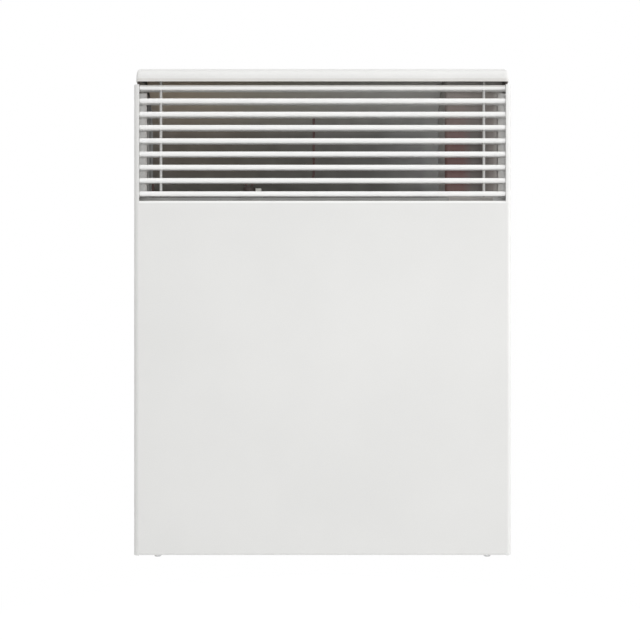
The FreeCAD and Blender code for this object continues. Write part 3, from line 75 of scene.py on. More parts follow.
class Graph:
    """A material's node tree with a Principled shader, built from short calls."""

    def __init__(self, name):
        self.material = bpy.data.materials.new(name)
        self.material.use_nodes = True
        self.tree = self.material.node_tree
        self.shader = self.tree.nodes["Principled BSDF"]
        self.place = self.node("ShaderNodeTexCoord").outputs["Object"]

    def node(self, kind, **settings):
        node = self.tree.nodes.new(kind)
        for key, value in settings.items():
            setattr(node, key, value)
        return node

    def link(self, output, socket):
        self.tree.links.new(output, socket)

    def set(self, **values):
        """Sets the shader's own sockets: underscores stand for spaces."""
        for key, value in values.items():
            self.shader.inputs[key.replace("_", " ")].default_value = value

    def colour(self, output):
        self.link(output, self.shader.inputs["Base Color"])

    def roughness(self, output):
        self.link(output, self.shader.inputs["Roughness"])

    def bump(self, *layers):
        """Bumps laid over each other: (height, depth in metres, strength) each."""
        normal = None
        for height, depth, strength in layers:
            node = self.node("ShaderNodeBump")
            node.inputs["Distance"].default_value = depth
            node.inputs["Strength"].default_value = strength
            self.link(height, node.inputs["Height"])
            if normal is not None:
                self.link(normal, node.inputs["Normal"])
            normal = node.outputs["Normal"]
        self.link(normal, self.shader.inputs["Normal"])

    def stretched(self, x, y, z):
        """The piece's own coordinates, scaled unevenly."""
        mapping = self.node("ShaderNodeMapping")
        mapping.inputs["Scale"].default_value = (x, y, z)
        self.link(self.place, mapping.inputs["Vector"])
        return mapping.outputs["Vector"]

    def noise(self, scale, detail=3.0, rough=0.55, vector=None):
        node = self.node("ShaderNodeTexNoise")
        node.inputs["Scale"].default_value = scale
        node.inputs["Detail"].default_value = detail
        node.inputs["Roughness"].default_value = rough
        self.link(vector or self.place, node.inputs["Vector"])
        return node.outputs["Fac"]

    def cells(self, scale, output="Distance", vector=None):
        """Voronoi cells: how far each point is from its cell's middle, or the cell's Color."""
        node = self.node("ShaderNodeTexVoronoi")
        node.inputs["Scale"].default_value = scale
        self.link(vector or self.place, node.inputs["Vector"])
        return node.outputs[output]

    def grey(self, colour):
        """One channel of a colour, as an even random number for each cell."""
        node = self.node("ShaderNodeSeparateColor")
        self.link(colour, node.inputs["Color"])
        return node.outputs["Red"]

    def along(self, axis):
        """The place along an axis of the piece's own frame, in metres."""
        node = self.node("ShaderNodeSeparateXYZ")
        self.link(self.place, node.inputs["Vector"])
        return node.outputs[axis]

    def across(self):
        """The distance to the left or right of the object's middle, in metres."""
        node = self.node("ShaderNodeMath", operation="ABSOLUTE")
        self.link(self.along("X"), node.inputs[0])
        return node.outputs["Value"]

    def inward(self, middle):
        """1 where a face looks towards the middle of the object, and 0 where it looks outwards."""
        away = self.node("ShaderNodeVectorMath", operation="SUBTRACT")
        self.link(self.place, away.inputs[0])
        away.inputs[1].default_value = middle
        facing = self.node("ShaderNodeVectorMath", operation="DOT_PRODUCT")
        self.link(away.outputs["Vector"], facing.inputs[0])
        self.link(self.node("ShaderNodeTexCoord").outputs["Normal"], facing.inputs[1])
        node = self.node("ShaderNodeMath", operation="LESS_THAN")
        self.link(facing.outputs["Value"], node.inputs[0])
        node.inputs[1].default_value = 0.0
        return node.outputs["Value"]

    def spread(self, value, low, high, start=NOISE_LOW, stop=NOISE_HIGH):
        """A value taken from the range start to stop to the range low to high, and held at its ends."""
        node = self.node("ShaderNodeMapRange")
        sizes = (("From Min", start), ("From Max", stop), ("To Min", low), ("To Max", high))
        for key, number in sizes:
            node.inputs[key].default_value = number
        self.link(value, node.inputs["Value"])
        return node.outputs["Result"]

    def share(self, value, start, stop):
        """0 at start and before it, 1 at stop and past it."""
        return self.spread(value, 0.0, 1.0, start, stop)

    def ramp(self, value, *stops):
        """Colours along a value: (place, colour) pairs."""
        node = self.node("ShaderNodeValToRGB")
        elements = node.color_ramp.elements
        while len(elements) < len(stops):
            elements.new(0.5)
        for element, (place, colour) in zip(elements, stops):
            element.position = place
            element.color = (*colour, 1.0)
        self.link(value, node.inputs["Fac"])
        return node.outputs["Color"]

    def mottle(self, noise, low, high):
        """Two colours that pass into each other over the middle of a noise's range."""
        return self.ramp(noise, (NOISE_LOW, low), (NOISE_HIGH, high))

    def blend(self, first, second, share, mode="MIX"):
        """Two colours mixed by a share, which is a number or a socket."""
        node = self.node("ShaderNodeMix", data_type="RGBA", blend_type=mode)
        sockets = {socket.identifier: socket for socket in node.inputs}
        for key, value in (("A_Color", first), ("B_Color", second), ("Factor_Float", share)):
            if isinstance(value, bpy.types.NodeSocket):
                self.link(value, sockets[key])
            elif key == "Factor_Float":
                sockets[key].default_value = value
            else:
                sockets[key].default_value = (*value, 1.0)
        return next(socket for socket in node.outputs if socket.identifier == "Result_Color")

    def times(self, first, second, share=1.0):
        """A colour multiplied by another, in full or in part."""
        return self.blend(first, second, share, "MULTIPLY")


# Faces of the frame that finishes, trim and camera are measured from, in metres


casing_middle = (cad_box[0] + cad_box[1]) / 2
front = cad_box[0].y
side = cad_box[1].x
shield_low, shield_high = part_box("heat_shield")
housing_low, housing_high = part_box("control_housing")
blade_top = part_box("louvre_blade_1")[1].z
cap_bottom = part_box("top_cap")[0].z


# Where finishes change: each pair is the start and the end of one change, in metres


FRONT_DEPTH = (front + 0.012, front + 0.008)
# Depth behind which the casing's inner faces get painted shade.
INSIDE_SHADE_DEPTH = (front + 0.016, front + 0.026)
JOINT_DEPTH = (front + 0.010, front + 0.016)
WALL_ACROSS = (side - 0.0028, side - 0.0014)
SILL_ACROSS = (side - 0.0045, side - 0.0055)
POST_ACROSS = (side - 0.0055, side - 0.0105)
JOINT_ACROSS = (side - 0.016, side - 0.011)
# The band of the painted highlight along the sill.
SILL_HEIGHT = (shield_high.z - 0.0072, shield_high.z + 0.0058)
# The painted shadow of the cap on the top of the grille.
CAP_SHADOW_HEIGHT = (blade_top - 0.0024, blade_top - 0.0016)
SEAM_HEIGHT = (blade_top, cap_bottom)
# Painted shade on the cap's lower rim.
RIM_HEIGHT = (cap_bottom + 0.0032, cap_bottom + 0.0022)

DUCT_HEIGHT = (shield_high.z - 0.0052, shield_high.z + 0.1198)
# A warmer tone along part of the duct.
WARM_TONE_X = (shield_low.x + 0.0052, shield_low.x + 0.2202)
# Painted light at the duct's ends.
END_LIGHT_X = (shield_low.x + 0.0002, shield_high.x - 0.0010)

HOUSING_GREY_X = (housing_low.x + 0.016, housing_low.x + 0.025)
HOUSING_EDGE_X = (housing_high.x - 0.017, housing_high.x - 0.005)
HOUSING_END_X = (housing_high.x - 0.006, housing_high.x)
# Dusting and painted light on the housing's upper part.
HOUSING_DUST_AND_LIGHT_HEIGHT = (housing_low.z + 0.0534, housing_low.z + 0.1034)
HOUSING_FOOT_HEIGHT = (housing_low.z + 0.0084, housing_low.z + 0.0044)
HOUSING_FLANK_DEPTH = (housing_low.y + 0.0012, housing_low.y + 0.0040)

# The same for changes up the duct, as shares of DUCT_HEIGHT
WARM_TONE_RISE = (0.05, 0.35)
END_LIGHT_RISE = (0.05, 0.2)


# Finishes


def white_enamel():
    """Powder coat on sheet steel: fine orange peel over sheet that is not quite flat.

    It has a painted highlight along the sill's fold, painted shade along the cap's lower rim, and painted shade in
    grey on the casing's inner faces.
    """
    g = Graph("white_enamel")
    height = g.along("Z")
    depth = g.along("Y")
    across = g.across()
    base = g.mottle(g.noise(9.0, 2.0), (0.795, 0.794, 0.780), (0.825, 0.823, 0.808))
    specks = g.ramp(g.noise(900.0, 2.0), (0.35, (0.96, 0.96, 0.96)), (0.6, WHITE))
    coat = g.times(base, specks, 0.35)
    # Painted highlight: a lighter band along the fold of the sill, between the casing's ends.
    sill_highlight_band = g.ramp(g.share(height, *SILL_HEIGHT), (0.0, BLACK), (0.06, WHITE), (0.5, WHITE), (1.0, BLACK))
    sill_highlight = g.blend(coat, (0.935, 0.934, 0.922), sill_highlight_band)
    between_ends = g.blend(coat, sill_highlight, g.share(across, *SILL_ACROSS))
    folded = g.blend(coat, between_ends, g.share(depth, *FRONT_DEPTH))
    # Painted shade: the cap's lower rim darkens towards its edge.
    rim = g.ramp(g.share(height, *RIM_HEIGHT), (0.0, WHITE), (1.0, (0.90, 0.885, 0.868)))
    painted_shading = g.times(folded, rim, g.share(height, *SEAM_HEIGHT))
    outside = g.blend(folded, painted_shading, g.share(depth, *FRONT_DEPTH))
    # Painted shade: the casing's inner faces are grey, lighter next to the side walls and near the cap.
    inside_shade = g.mottle(g.noise(70.0, 4.0), (0.27, 0.268, 0.254), (0.37, 0.367, 0.350))
    walls = g.blend(inside_shade, coat, g.spread(across, 0.0, 0.9, *WALL_ACROSS))
    inside = g.blend(walls, coat, g.spread(height, 0.0, 0.6, *SEAM_HEIGHT))
    with_inside_shade = g.blend(outside, inside, g.inward(casing_middle))
    g.colour(g.blend(outside, with_inside_shade, g.share(depth, *INSIDE_SHADE_DEPTH)))
    g.roughness(g.spread(g.noise(260.0, 3.0), 0.36, 0.48))
    g.bump((g.noise(6.0, 1.0), 0.0012, 0.10), (g.noise(1100.0, 2.0), 0.00006, 0.16))
    g.set(Specular_IOR_Level=0.42)
    return g.material


GRILLE_WHITE = ((0.925, 0.924, 0.912), (0.950, 0.949, 0.937))
BAR_GREY = ((0.50, 0.497, 0.487), (0.56, 0.557, 0.546))


def smooth_coat(g, low, high):
    """Sets the gloss of a smooth coat and gives its colour: between two tones, with a painted shadow of the cap
    over the top of the grille.
    """
    base = g.mottle(g.noise(30.0, 2.0), low, high)
    specks = g.ramp(g.noise(1200.0, 2.0), (0.35, (0.965, 0.965, 0.965)), (0.6, WHITE))
    # Painted shadow of the cap: darker over the top of the grille.
    cap_shadow = g.ramp(g.share(g.along("Z"), *CAP_SHADOW_HEIGHT), (0.0, WHITE), (1.0, (0.66, 0.645, 0.625)))
    g.roughness(g.spread(g.noise(320.0, 3.0), 0.32, 0.44))
    g.bump((g.noise(1300.0, 2.0), 0.00005, 0.14))
    return g.times(g.times(base, specks, 0.35), cap_shadow)


def grille_enamel():
    """The bright coat on the grille's blades."""
    g = Graph("grille_enamel")
    g.colour(smooth_coat(g, *GRILLE_WHITE))
    return g.material


def post_enamel():
    """The blades' coat on the grille's posts, with painted shade towards their inner edges."""
    g = Graph("post_enamel")
    # Painted shade: the posts darken towards their inner edges.
    post_shade = g.ramp(g.share(g.across(), *POST_ACROSS), (0.0, WHITE), (1.0, (0.60, 0.575, 0.55)))
    g.colour(g.times(smooth_coat(g, *GRILLE_WHITE), post_shade))
    return g.material


def bar_enamel():
    """A greyer tone than the blades', on the tie bars."""
    g = Graph("bar_enamel")
    g.colour(smooth_coat(g, *BAR_GREY))
    return g.material


def bracket_enamel():
    """A plainer, coarser coat on the hidden wall bracket."""
    g = Graph("bracket_enamel")
    base = g.mottle(g.noise(24.0, 4.0), (0.66, 0.665, 0.66), (0.74, 0.74, 0.73))
    rub = g.ramp(g.noise(150.0, 5.0, 0.7), (0.55, WHITE), (0.75, (0.86, 0.86, 0.86)))
    g.colour(g.times(base, rub, 0.5))
    g.roughness(g.spread(g.noise(300.0, 3.0), 0.42, 0.6))
    g.bump((g.noise(700.0, 3.0), 0.00012, 0.22))
    return g.material


def zinc_sheet():
    """Hot-dip galvanised sheet with its spangle, and rolling lines under it."""
    g = Graph("zinc_sheet")
    spangle = g.grey(g.cells(150.0, "Color"))
    fern = g.noise(1.0, 5.0, 0.7, g.stretched(420.0, 160.0, 420.0))
    lines = g.noise(1.0, 3.0, 0.6, g.stretched(900.0, 900.0, 24.0))
    base = g.ramp(
        spangle,
        (0.0, (0.485, 0.495, 0.50)),
        (0.55, (0.535, 0.545, 0.55)),
        (1.0, (0.585, 0.595, 0.60)),
    )
    veins = g.ramp(fern, (0.35, (0.88, 0.885, 0.89)), (0.65, WHITE))
    rolled = g.mottle(lines, (0.92, 0.92, 0.92), WHITE)
    g.colour(g.times(g.times(base, veins, 0.6), rolled, 0.5))
    g.roughness(g.spread(g.blend(fern, spangle, 0.6), 0.34, 0.55, 0.0, 1.0))
    g.bump((g.cells(150.0), 0.0001, 0.1), (fern, 0.00004, 0.12))
    g.set(Metallic=1.0)
    return g.material


def warm_sheet():
    """Aluminised duct sheet: painted shade over the element, painted light above, below and at its ends, and a
    warmer tone towards one end.
    """
    g = Graph("warm_sheet")
    lines = g.noise(1.0, 4.0, 0.6, g.stretched(14.0, 700.0, 700.0))
    x = g.along("X")
    height = g.share(g.along("Z"), *DUCT_HEIGHT)
    # Painted light and shade: the sheet's tone set by height, darker over the element and lighter near its top and
    # bottom.
    painted_shading = g.ramp(
        height,
        (0.048, (0.43, 0.43, 0.425)),
        (0.075, (0.142, 0.138, 0.126)),
        (0.40, (0.172, 0.170, 0.160)),
        (0.576, (0.196, 0.194, 0.186)),
        (0.695, (0.345, 0.342, 0.328)),
        (0.80, (0.60, 0.595, 0.578)),
        (0.88, (0.90, 0.895, 0.872)),
        (0.91, (0.90, 0.895, 0.872)),
        (0.94, (0.52, 0.515, 0.50)),
    )
    rolled = g.mottle(lines, (0.90, 0.90, 0.90), WHITE)
    stains = g.mottle(g.noise(16.0, 4.0), (0.90, 0.88, 0.83), WHITE)
    grained = g.times(painted_shading, g.blend(rolled, stains, 0.5))
    # A warmer tone towards one end of the sheet.
    warm_tone = g.ramp(
        g.share(x, *WARM_TONE_X),
        (0.0, (1.0, 0.86, 0.72)),
        (0.25, (0.95, 0.84, 0.72)),
        (0.5, (0.86, 0.82, 0.74)),
        (1.0, WHITE),
    )
    warm_toned = g.times(grained, warm_tone, g.share(height, *WARM_TONE_RISE))
    # Painted light: lighter at the sheet's two ends, most of all higher up.
    end_light = g.ramp(
        g.share(x, *END_LIGHT_X),
        (0.0, (0.13, 0.125, 0.12)),
        (0.123, (0.02, 0.02, 0.02)),
        (0.28, BLACK),
        (0.772, BLACK),
        (0.895, (0.10, 0.10, 0.10)),
        (0.93, (0.14, 0.14, 0.14)),
        (0.99, (0.42, 0.42, 0.42)),
    )
    g.colour(g.blend(warm_toned, end_light, g.spread(height, 0.3, 1.0, *END_LIGHT_RISE), "SCREEN"))
    g.roughness(g.spread(g.noise(60.0, 4.0), 0.5, 0.68))
    g.bump((lines, 0.00008, 0.2))
    g.set(Metallic=0.2)
    return g.material


def plain_steel():
    """Zinc-plated screws and pins with a trace of passivation colour."""
    g = Graph("plain_steel")
    tint = g.ramp(
        g.noise(160.0, 3.0),
        (NOISE_LOW, (0.46, 0.464, 0.484)),
        (0.5, (0.51, 0.51, 0.506)),
        (NOISE_HIGH, (0.50, 0.485, 0.44)),
    )
    g.colour(tint)
    g.roughness(g.spread(g.noise(900.0, 3.0), 0.24, 0.42))
    g.bump((g.noise(2400.0, 2.0), 0.00003, 0.15))
    g.set(Metallic=1.0)
    return g.material


def element_alloy():
    """Extruded aluminium: die lines along its length and a dull oxide."""
    g = Graph("element_alloy")
    lines = g.noise(1.0, 5.0, 0.65, g.stretched(6.0, 1500.0, 1500.0))
    oxide = g.mottle(g.noise(30.0, 4.0), (0.40, 0.395, 0.38), (0.52, 0.52, 0.51))
    g.colour(g.times(oxide, g.mottle(lines, (0.8, 0.8, 0.8), WHITE), 0.7))
    g.roughness(g.spread(lines, 0.38, 0.58))
    g.bump((lines, 0.00006, 0.3))
    g.set(Metallic=1.0)
    return g.material


def ceramic():
    """Unglazed steatite with fine dark specks."""
    g = Graph("ceramic")
    base = g.mottle(g.noise(80.0, 4.0), (0.80, 0.785, 0.735), (0.88, 0.87, 0.835))
    specks = g.ramp(g.cells(1400.0), (0.06, (0.55, 0.52, 0.46)), (0.14, WHITE))
    g.colour(g.times(base, specks, 0.5))
    g.roughness(g.spread(g.noise(400.0, 3.0), 0.55, 0.75))
    g.bump((g.noise(1800.0, 3.0), 0.00006, 0.3))
    return g.material


def dark_plastic():
    """Spark-eroded texture on brown-black moulded plastic, lighter inside at the casing's ends with dusting and
    painted light.
    """
    g = Graph("dark_plastic")
    cloud = g.noise(40.0, 4.0)
    fresh = g.mottle(cloud, (0.050, 0.037, 0.033), (0.072, 0.054, 0.048))
    # At the casing's ends: lighter with dusting and painted light, and much lighter with painted light on faces
    # towards the middle.
    dust_and_light = g.mottle(cloud, (0.155, 0.128, 0.112), (0.200, 0.168, 0.150))
    painted_light = g.mottle(cloud, (0.68, 0.665, 0.645), (0.78, 0.765, 0.745))
    lit_inward = g.blend(dust_and_light, painted_light, g.inward(casing_middle))
    ends = g.blend(fresh, lit_inward, g.share(g.across(), *JOINT_ACROSS))
    g.colour(g.blend(fresh, ends, g.share(g.along("Y"), *JOINT_DEPTH)))
    g.roughness(g.spread(g.noise(500.0, 2.0), 0.46, 0.64))
    g.bump((g.noise(2200.0, 3.0), 0.00008, 0.35))
    return g.material


def brown_plastic():
    """Phenolic moulding: red-brown, with the flow of its filler showing.

    It turns grey towards one end, and is lighter at its top, edge, foot and ends and on its side towards the duct,
    with dusting and painted light.
    """
    g = Graph("brown_plastic")
    flow = g.noise(1.0, 4.0, 0.6, g.stretched(60.0, 60.0, 22.0))
    x = g.along("X")
    height = g.along("Z")
    red = g.mottle(flow, (0.140, 0.072, 0.064), (0.170, 0.092, 0.082))
    greyed = g.mottle(flow, (0.122, 0.106, 0.100), (0.148, 0.130, 0.122))
    # Lighter tones, for dusting and painted light at the top, edge, foot and ends and on the side towards the
    # duct.
    dust_and_light = g.mottle(flow, (0.300, 0.268, 0.248), (0.356, 0.322, 0.300))
    top_light = g.mottle(flow, (0.415, 0.395, 0.378), (0.470, 0.448, 0.430))
    painted_light = g.mottle(flow, (0.60, 0.575, 0.55), (0.68, 0.655, 0.63))
    fresh = g.blend(red, greyed, g.share(x, *HOUSING_GREY_X))
    upper = g.blend(fresh, dust_and_light, g.share(height, *HOUSING_DUST_AND_LIGHT_HEIGHT))
    edged = g.blend(upper, dust_and_light, g.spread(x, 0.0, 0.9, *HOUSING_EDGE_X))
    lower = g.blend(edged, painted_light, g.share(height, *HOUSING_FOOT_HEIGHT))
    lit_inward = g.blend(lower, painted_light, g.inward(casing_middle))
    flank = g.blend(lower, lit_inward, g.share(g.along("Y"), *HOUSING_FLANK_DEPTH))
    ended = g.blend(flank, painted_light, g.share(x, *HOUSING_END_X))
    g.colour(g.blend(ended, top_light, g.share(height, *SEAM_HEIGHT)))
    g.roughness(g.spread(g.noise(420.0, 2.0), 0.42, 0.6))
    g.bump((g.noise(1500.0, 3.0), 0.00008, 0.3))
    return g.material


def white_plastic():
    """Satin white mouldings, a little warmer than the painted steel."""
    g = Graph("white_plastic")
    flow = g.noise(1.0, 2.0, 0.5, g.stretched(18.0, 46.0, 46.0))
    g.colour(g.mottle(flow, (0.755, 0.752, 0.735), (0.80, 0.798, 0.785)))
    g.roughness(g.spread(g.noise(420.0, 2.0), 0.34, 0.46))
    g.bump((g.noise(1900.0, 2.0), 0.00004, 0.2))
    g.set(Subsurface_Weight=0.05, Subsurface_Scale=0.002)
    return g.material


def silicone():
    """Braided silicone sleeving, dark red-brown."""
    g = Graph("silicone")
    braid = g.cells(1500.0, vector=g.stretched(1.0, 1.0, 0.45))
    base = g.mottle(g.noise(60.0, 3.0), (0.088, 0.050, 0.044), (0.118, 0.066, 0.056))
    g.colour(g.times(base, g.ramp(braid, (0.1, (0.7, 0.7, 0.7)), (0.5, WHITE)), 0.6))
    g.roughness(g.spread(g.noise(700.0, 2.0), 0.55, 0.72))
    g.bump((braid, 0.00018, 0.4))
    g.set(Sheen_Weight=0.15, Sheen_Roughness=0.5)
    return g.material


def board():
    """Lacquered laminate with its copper tracks showing through."""
    g = Graph("board")
    tracks = g.node("ShaderNodeTexBrick")
    sizes = (("Scale", 260.0), ("Mortar Size", 0.07), ("Brick Width", 1.3), ("Row Height", 0.42))
    for key, number in sizes:
        tracks.inputs[key].default_value = number
    g.link(g.place, tracks.inputs["Vector"])
    lacquer = g.mottle(g.noise(90.0, 3.0), (0.032, 0.15, 0.066), (0.050, 0.21, 0.095))
    g.colour(g.blend(lacquer, (0.11, 0.32, 0.12), tracks.outputs["Fac"]))
    g.roughness(g.spread(g.noise(300.0, 2.0), 0.24, 0.4))
    g.bump((tracks.outputs["Fac"], 0.00006, 0.4))
    return g.material


def lamp_lens():
    """Clear red lens with a finely pebbled face."""
    g = Graph("lamp_lens")
    g.colour(g.mottle(g.noise(700.0, 2.0), (0.50, 0.035, 0.02), (0.66, 0.075, 0.045)))
    g.roughness(g.spread(g.noise(900.0, 2.0), 0.10, 0.22))
    g.bump((g.cells(1700.0), 0.0001, 0.3))
    g.set(Transmission_Weight=0.45, IOR=1.49)
    return g.material


FINISHES = {
    make.__name__: make()
    for make in (
        white_enamel,
        grille_enamel,
        bracket_enamel,
        zinc_sheet,
        warm_sheet,
        plain_steel,
        element_alloy,
        ceramic,
        dark_plastic,
        brown_plastic,
        white_plastic,
        silicone,
        board,
        lamp_lens,
    )
}

for subpart in frame["record"]["subparts"]:
    mesh = nodes[subpart["node"]].data
    mesh.materials.clear()
    mesh.materials.append(FINISHES[subpart["material_slot"]])

nodes["grille_posts"].data.materials[0] = post_enamel()
bar_finish = bar_enamel()
for bar in ("tie_bar_left", "tie_bar_right"):
    nodes[bar].data.materials[0] = bar_finish


# Print and paint on the controls


PRINT_THICKNESS = 0.00005
PRINT_LIFT = 0.00002


def piece_from(mesh_builder, name, body, slot):
    """Makes a new piece from a bmesh, riding a body and finished as one of the record's slots."""
    mesh = bpy.data.meshes.new(name)
    mesh_builder.to_mesh(mesh)
    mesh_builder.free()
    piece = bpy.data.objects.new(name, mesh)
    scene.collection.objects.link(piece)
    mesh.materials.append(FINISHES[slot])
    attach(piece, body)


def raise_outline(mesh_builder, points, height=PRINT_THICKNESS):
    """A closed outline given a height, straight up."""
    low = [mesh_builder.verts.new(point) for point in points]
    high = [mesh_builder.verts.new(point + UP * height) for point in points]
    mesh_builder.faces.new(high)
    mesh_builder.faces.new(low[::-1])
    for i in range(len(points)):
        j = (i + 1) % len(points)
        mesh_builder.faces.new((low[i], low[j], high[j], high[i]))


def raise_band(mesh_builder, outer, inner):
    """The band between two closed outlines with as many points each, given the print's thickness."""
    loops = (outer, inner)
    lift = UP * PRINT_THICKNESS
    low_outer, low_inner = ([mesh_builder.verts.new(point) for point in loop] for loop in loops)
    high_outer, high_inner = ([mesh_builder.verts.new(point + lift) for point in loop] for loop in loops)
    for i in range(len(outer)):
        j = (i + 1) % len(outer)
        mesh_builder.faces.new((high_outer[i], high_outer[j], high_inner[j], high_inner[i]))
        mesh_builder.faces.new((low_outer[j], low_outer[i], low_inner[i], low_inner[j]))
        mesh_builder.faces.new((low_outer[i], low_outer[j], high_outer[j], high_outer[i]))
        mesh_builder.faces.new((low_inner[j], low_inner[i], high_inner[i], high_inner[j]))


KNOB_CLEARANCE = 0.0006

knob_low, knob_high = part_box("thermostat_knob")
knob_middle = (knob_low + knob_high) / 2
knob_radius = (knob_high.x - knob_low.x) / 2
well_floor = knob_low.z - KNOB_CLEARANCE
dial_turn = max(joints["thermostat_turn"]["range_deg"])

DIAL_STEPS = 6
TICKS_PER_STEP = 4
TICK_INNER = knob_radius + 0.0007
TICK_OUTER = knob_radius + 0.0015
TICK_MIDDLE = (TICK_INNER + TICK_OUTER) / 2
BOLD_HALF_WIDTH = 0.00022
FINE_HALF_WIDTH = 0.00012
NUMERAL_HEIGHT = 0.0021
NUMERAL_RADIUS = knob_radius + 0.0026


def on_dial(share, radius):
    """A place round the knob, from 0 at the dial's first number to 1 at its last."""
    angle = math.radians(-dial_turn + 2 * dial_turn * share)
    return Vector((
        knob_middle.x - radius * math.sin(angle),
        knob_middle.y - radius * math.cos(angle),
        well_floor,
    ))


def dial_ticks():
    """Fine ticks round the knob, longer and bolder at the numbers."""
    builder = bmesh.new()
    count = (DIAL_STEPS - 1) * TICKS_PER_STEP
    for i in range(count + 1):
        bold = i % TICKS_PER_STEP == 0
        half_width = BOLD_HALF_WIDTH if bold else FINE_HALF_WIDTH
        inner = on_dial(i / count, TICK_INNER)
        outer = on_dial(i / count, TICK_OUTER if bold else TICK_MIDDLE)
        across = (outer - inner).normalized().cross(UP) * half_width
        raise_outline(builder, [inner - across, inner + across, outer + across, outer - across])
    piece_from(builder, "dial_ticks", "heater", "dark_plastic")


def dial_numerals():
    """The numbers 1 to 6 round the knob."""
    for i in range(DIAL_STEPS):
        text = bpy.data.curves.new(f"dial_text_{i + 1}", "FONT")
        text.body = str(i + 1)
        text.size = NUMERAL_HEIGHT
        text.align_x = "CENTER"
        text.align_y = "CENTER"
        text.extrude = PRINT_THICKNESS / 2
        maker = bpy.data.objects.new(f"dial_text_{i + 1}", text)
        scene.collection.objects.link(maker)
        maker.location = on_dial(i / (DIAL_STEPS - 1), NUMERAL_RADIUS) + UP * PRINT_THICKNESS / 2
        bpy.context.view_layer.update()
        shaped = maker.evaluated_get(bpy.context.evaluated_depsgraph_get())
        mesh = bpy.data.meshes.new_from_object(shaped)
        mesh.transform(maker.matrix_world)
        bpy.data.objects.remove(maker)
        builder = bmesh.new()
        builder.from_mesh(mesh)
        bpy.data.meshes.remove(mesh)
        piece_from(builder, f"dial_number_{i + 1}", "heater", "dark_plastic")


POINTER_FLOOR = knob_high.z - 0.00048
POINTER_NEAR = knob_radius * 0.83
POINTER_FAR = knob_radius * 0.32
POINTER_HALF_WIDTH = 0.00042
POINTER_PAINT = 0.0002


def knob_pointer():
    """The dark paint in the knob's pointer groove."""
    builder = bmesh.new()
    left, right = knob_middle.x - POINTER_HALF_WIDTH, knob_middle.x + POINTER_HALF_WIDTH
    near, far = knob_middle.y - POINTER_NEAR, knob_middle.y - POINTER_FAR
    corners = [(left, near), (right, near), (right, far), (left, far)]
    raise_outline(builder, [Vector((x, y, POINTER_FLOOR)) for x, y in corners], POINTER_PAINT)
    piece_from(builder, "knob_pointer_paint", "knob", "dark_plastic")


ROCKER_REACH = 0.0052
BAR_HALF_WIDTH = 0.0003
BAR_HALF_LENGTH = 0.0014
RING_OUTER = 0.0015
RING_INNER = 0.00105
RING_SIDES = 36
ABOVE_ROCKER = 0.01


def rocker_marks():
    """The bar and the ring on the rocker's two flats."""
    pivot = Vector(joints["power_rock"]["pos_m"])
    rocker = nodes["power_rocker"]
    start_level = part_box("power_rocker")[1].z + ABOVE_ROCKER
    builder = bmesh.new()

    def landed(x, y):
        """A place just over the rocker's top, found from straight above."""
        start = Vector((pivot.x + x, pivot.y + y, start_level))
        return rocker.ray_cast(start, -UP)[1] + UP * PRINT_LIFT

    def ring(radius):
        turns = [2 * math.pi * i / RING_SIDES for i in range(RING_SIDES)]
        return [landed(radius * math.cos(turn), ROCKER_REACH + radius * math.sin(turn)) for turn in turns]

    corners = [(-1, -1), (1, -1), (1, 1), (-1, 1)]
    bar = [landed(x * BAR_HALF_WIDTH, y * BAR_HALF_LENGTH - ROCKER_REACH) for x, y in corners]
    raise_outline(builder, bar)
    raise_band(builder, ring(RING_OUTER), ring(RING_INNER))
    piece_from(builder, "rocker_marks", "rocker", "dark_plastic")


dial_ticks()
dial_numerals()
knob_pointer()
rocker_marks()


# Folded strips that close the slots beside the control housing


STRIP_SHEET = 0.0006
STRIP_LAP = 0.006
STRIP_FLANGE = 0.008
STRIP_BEND = 0.0015
BEND_STEPS = 6
STRIP_RISE = 0.0045
STRIP_DROP = 0.028
WALL_CLEARANCE = 0.001
CAP_SKIN = 0.0008
JOINT_CLEARANCE = 0.0005


def housing_strip(name, slot, right, low, high):
    """A strip lapped on the control housing's front, with a flange along the slot beside it."""
    left = housing_high.x - STRIP_LAP
    face = housing_low.y - STRIP_SHEET
    rear = face + STRIP_FLANGE
    turns = [math.pi / 2 * i / BEND_STEPS for i in range(BEND_STEPS + 1)]

    def bend(radius):
        """The fold's arc, from the strip's face to its flange."""
        x, y = right - STRIP_BEND, face + STRIP_BEND
        return [(x + radius * math.sin(turn), y - radius * math.cos(turn)) for turn in turns]

    outer = [(left, face), *bend(STRIP_BEND), (right, rear)]
    inner = [(left, face + STRIP_SHEET), *bend(STRIP_BEND - STRIP_SHEET), (right - STRIP_SHEET, rear)]
    builder = bmesh.new()
    raise_outline(builder, [Vector((x, y, low)) for x, y in outer + inner[::-1]], high - low)
    bmesh.ops.recalc_face_normals(builder, faces=builder.faces)
    piece_from(builder, name, "heater", slot)


posts_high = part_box("grille_posts")[1]
wall_edge = posts_high.x - WALL_CLEARANCE
strip_low = shield_high.z - STRIP_DROP
strip_high = shield_high.z + STRIP_RISE
housing_strip("housing_strip", "white_enamel", wall_edge, strip_low, strip_high)

joint_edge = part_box("top_cap")[1].x - 2 * CAP_SKIN - JOINT_CLEARANCE
lip_low = posts_high.z + JOINT_CLEARANCE
lip_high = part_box("cap_joint_right")[1].z
housing_strip("housing_lip", "brown_plastic", joint_edge, lip_low, lip_high)


# Floor, light and camera


FLOOR_LEVEL = cad_box[0].z - 0.30
FLOOR_REACH = 6.0
FLOOR_COLOUR = (0.86, 0.86, 0.86, 1.0)
FLOOR_ROUGHNESS = 0.9
FLOOR_GLOW = 0.45
FLOOR_FADE = (0.62, 1.05)
AMBIENT = 0.42
PURE_WHITE = 1.0


def mixed(tree, share, first, second):
    """Two shaders mixed by a share."""
    mix = tree.nodes.new("ShaderNodeMixShader")
    tree.links.new(share, mix.inputs["Fac"])
    tree.links.new(first, mix.inputs[1])
    tree.links.new(second, mix.inputs[2])
    return mix.outputs[0]


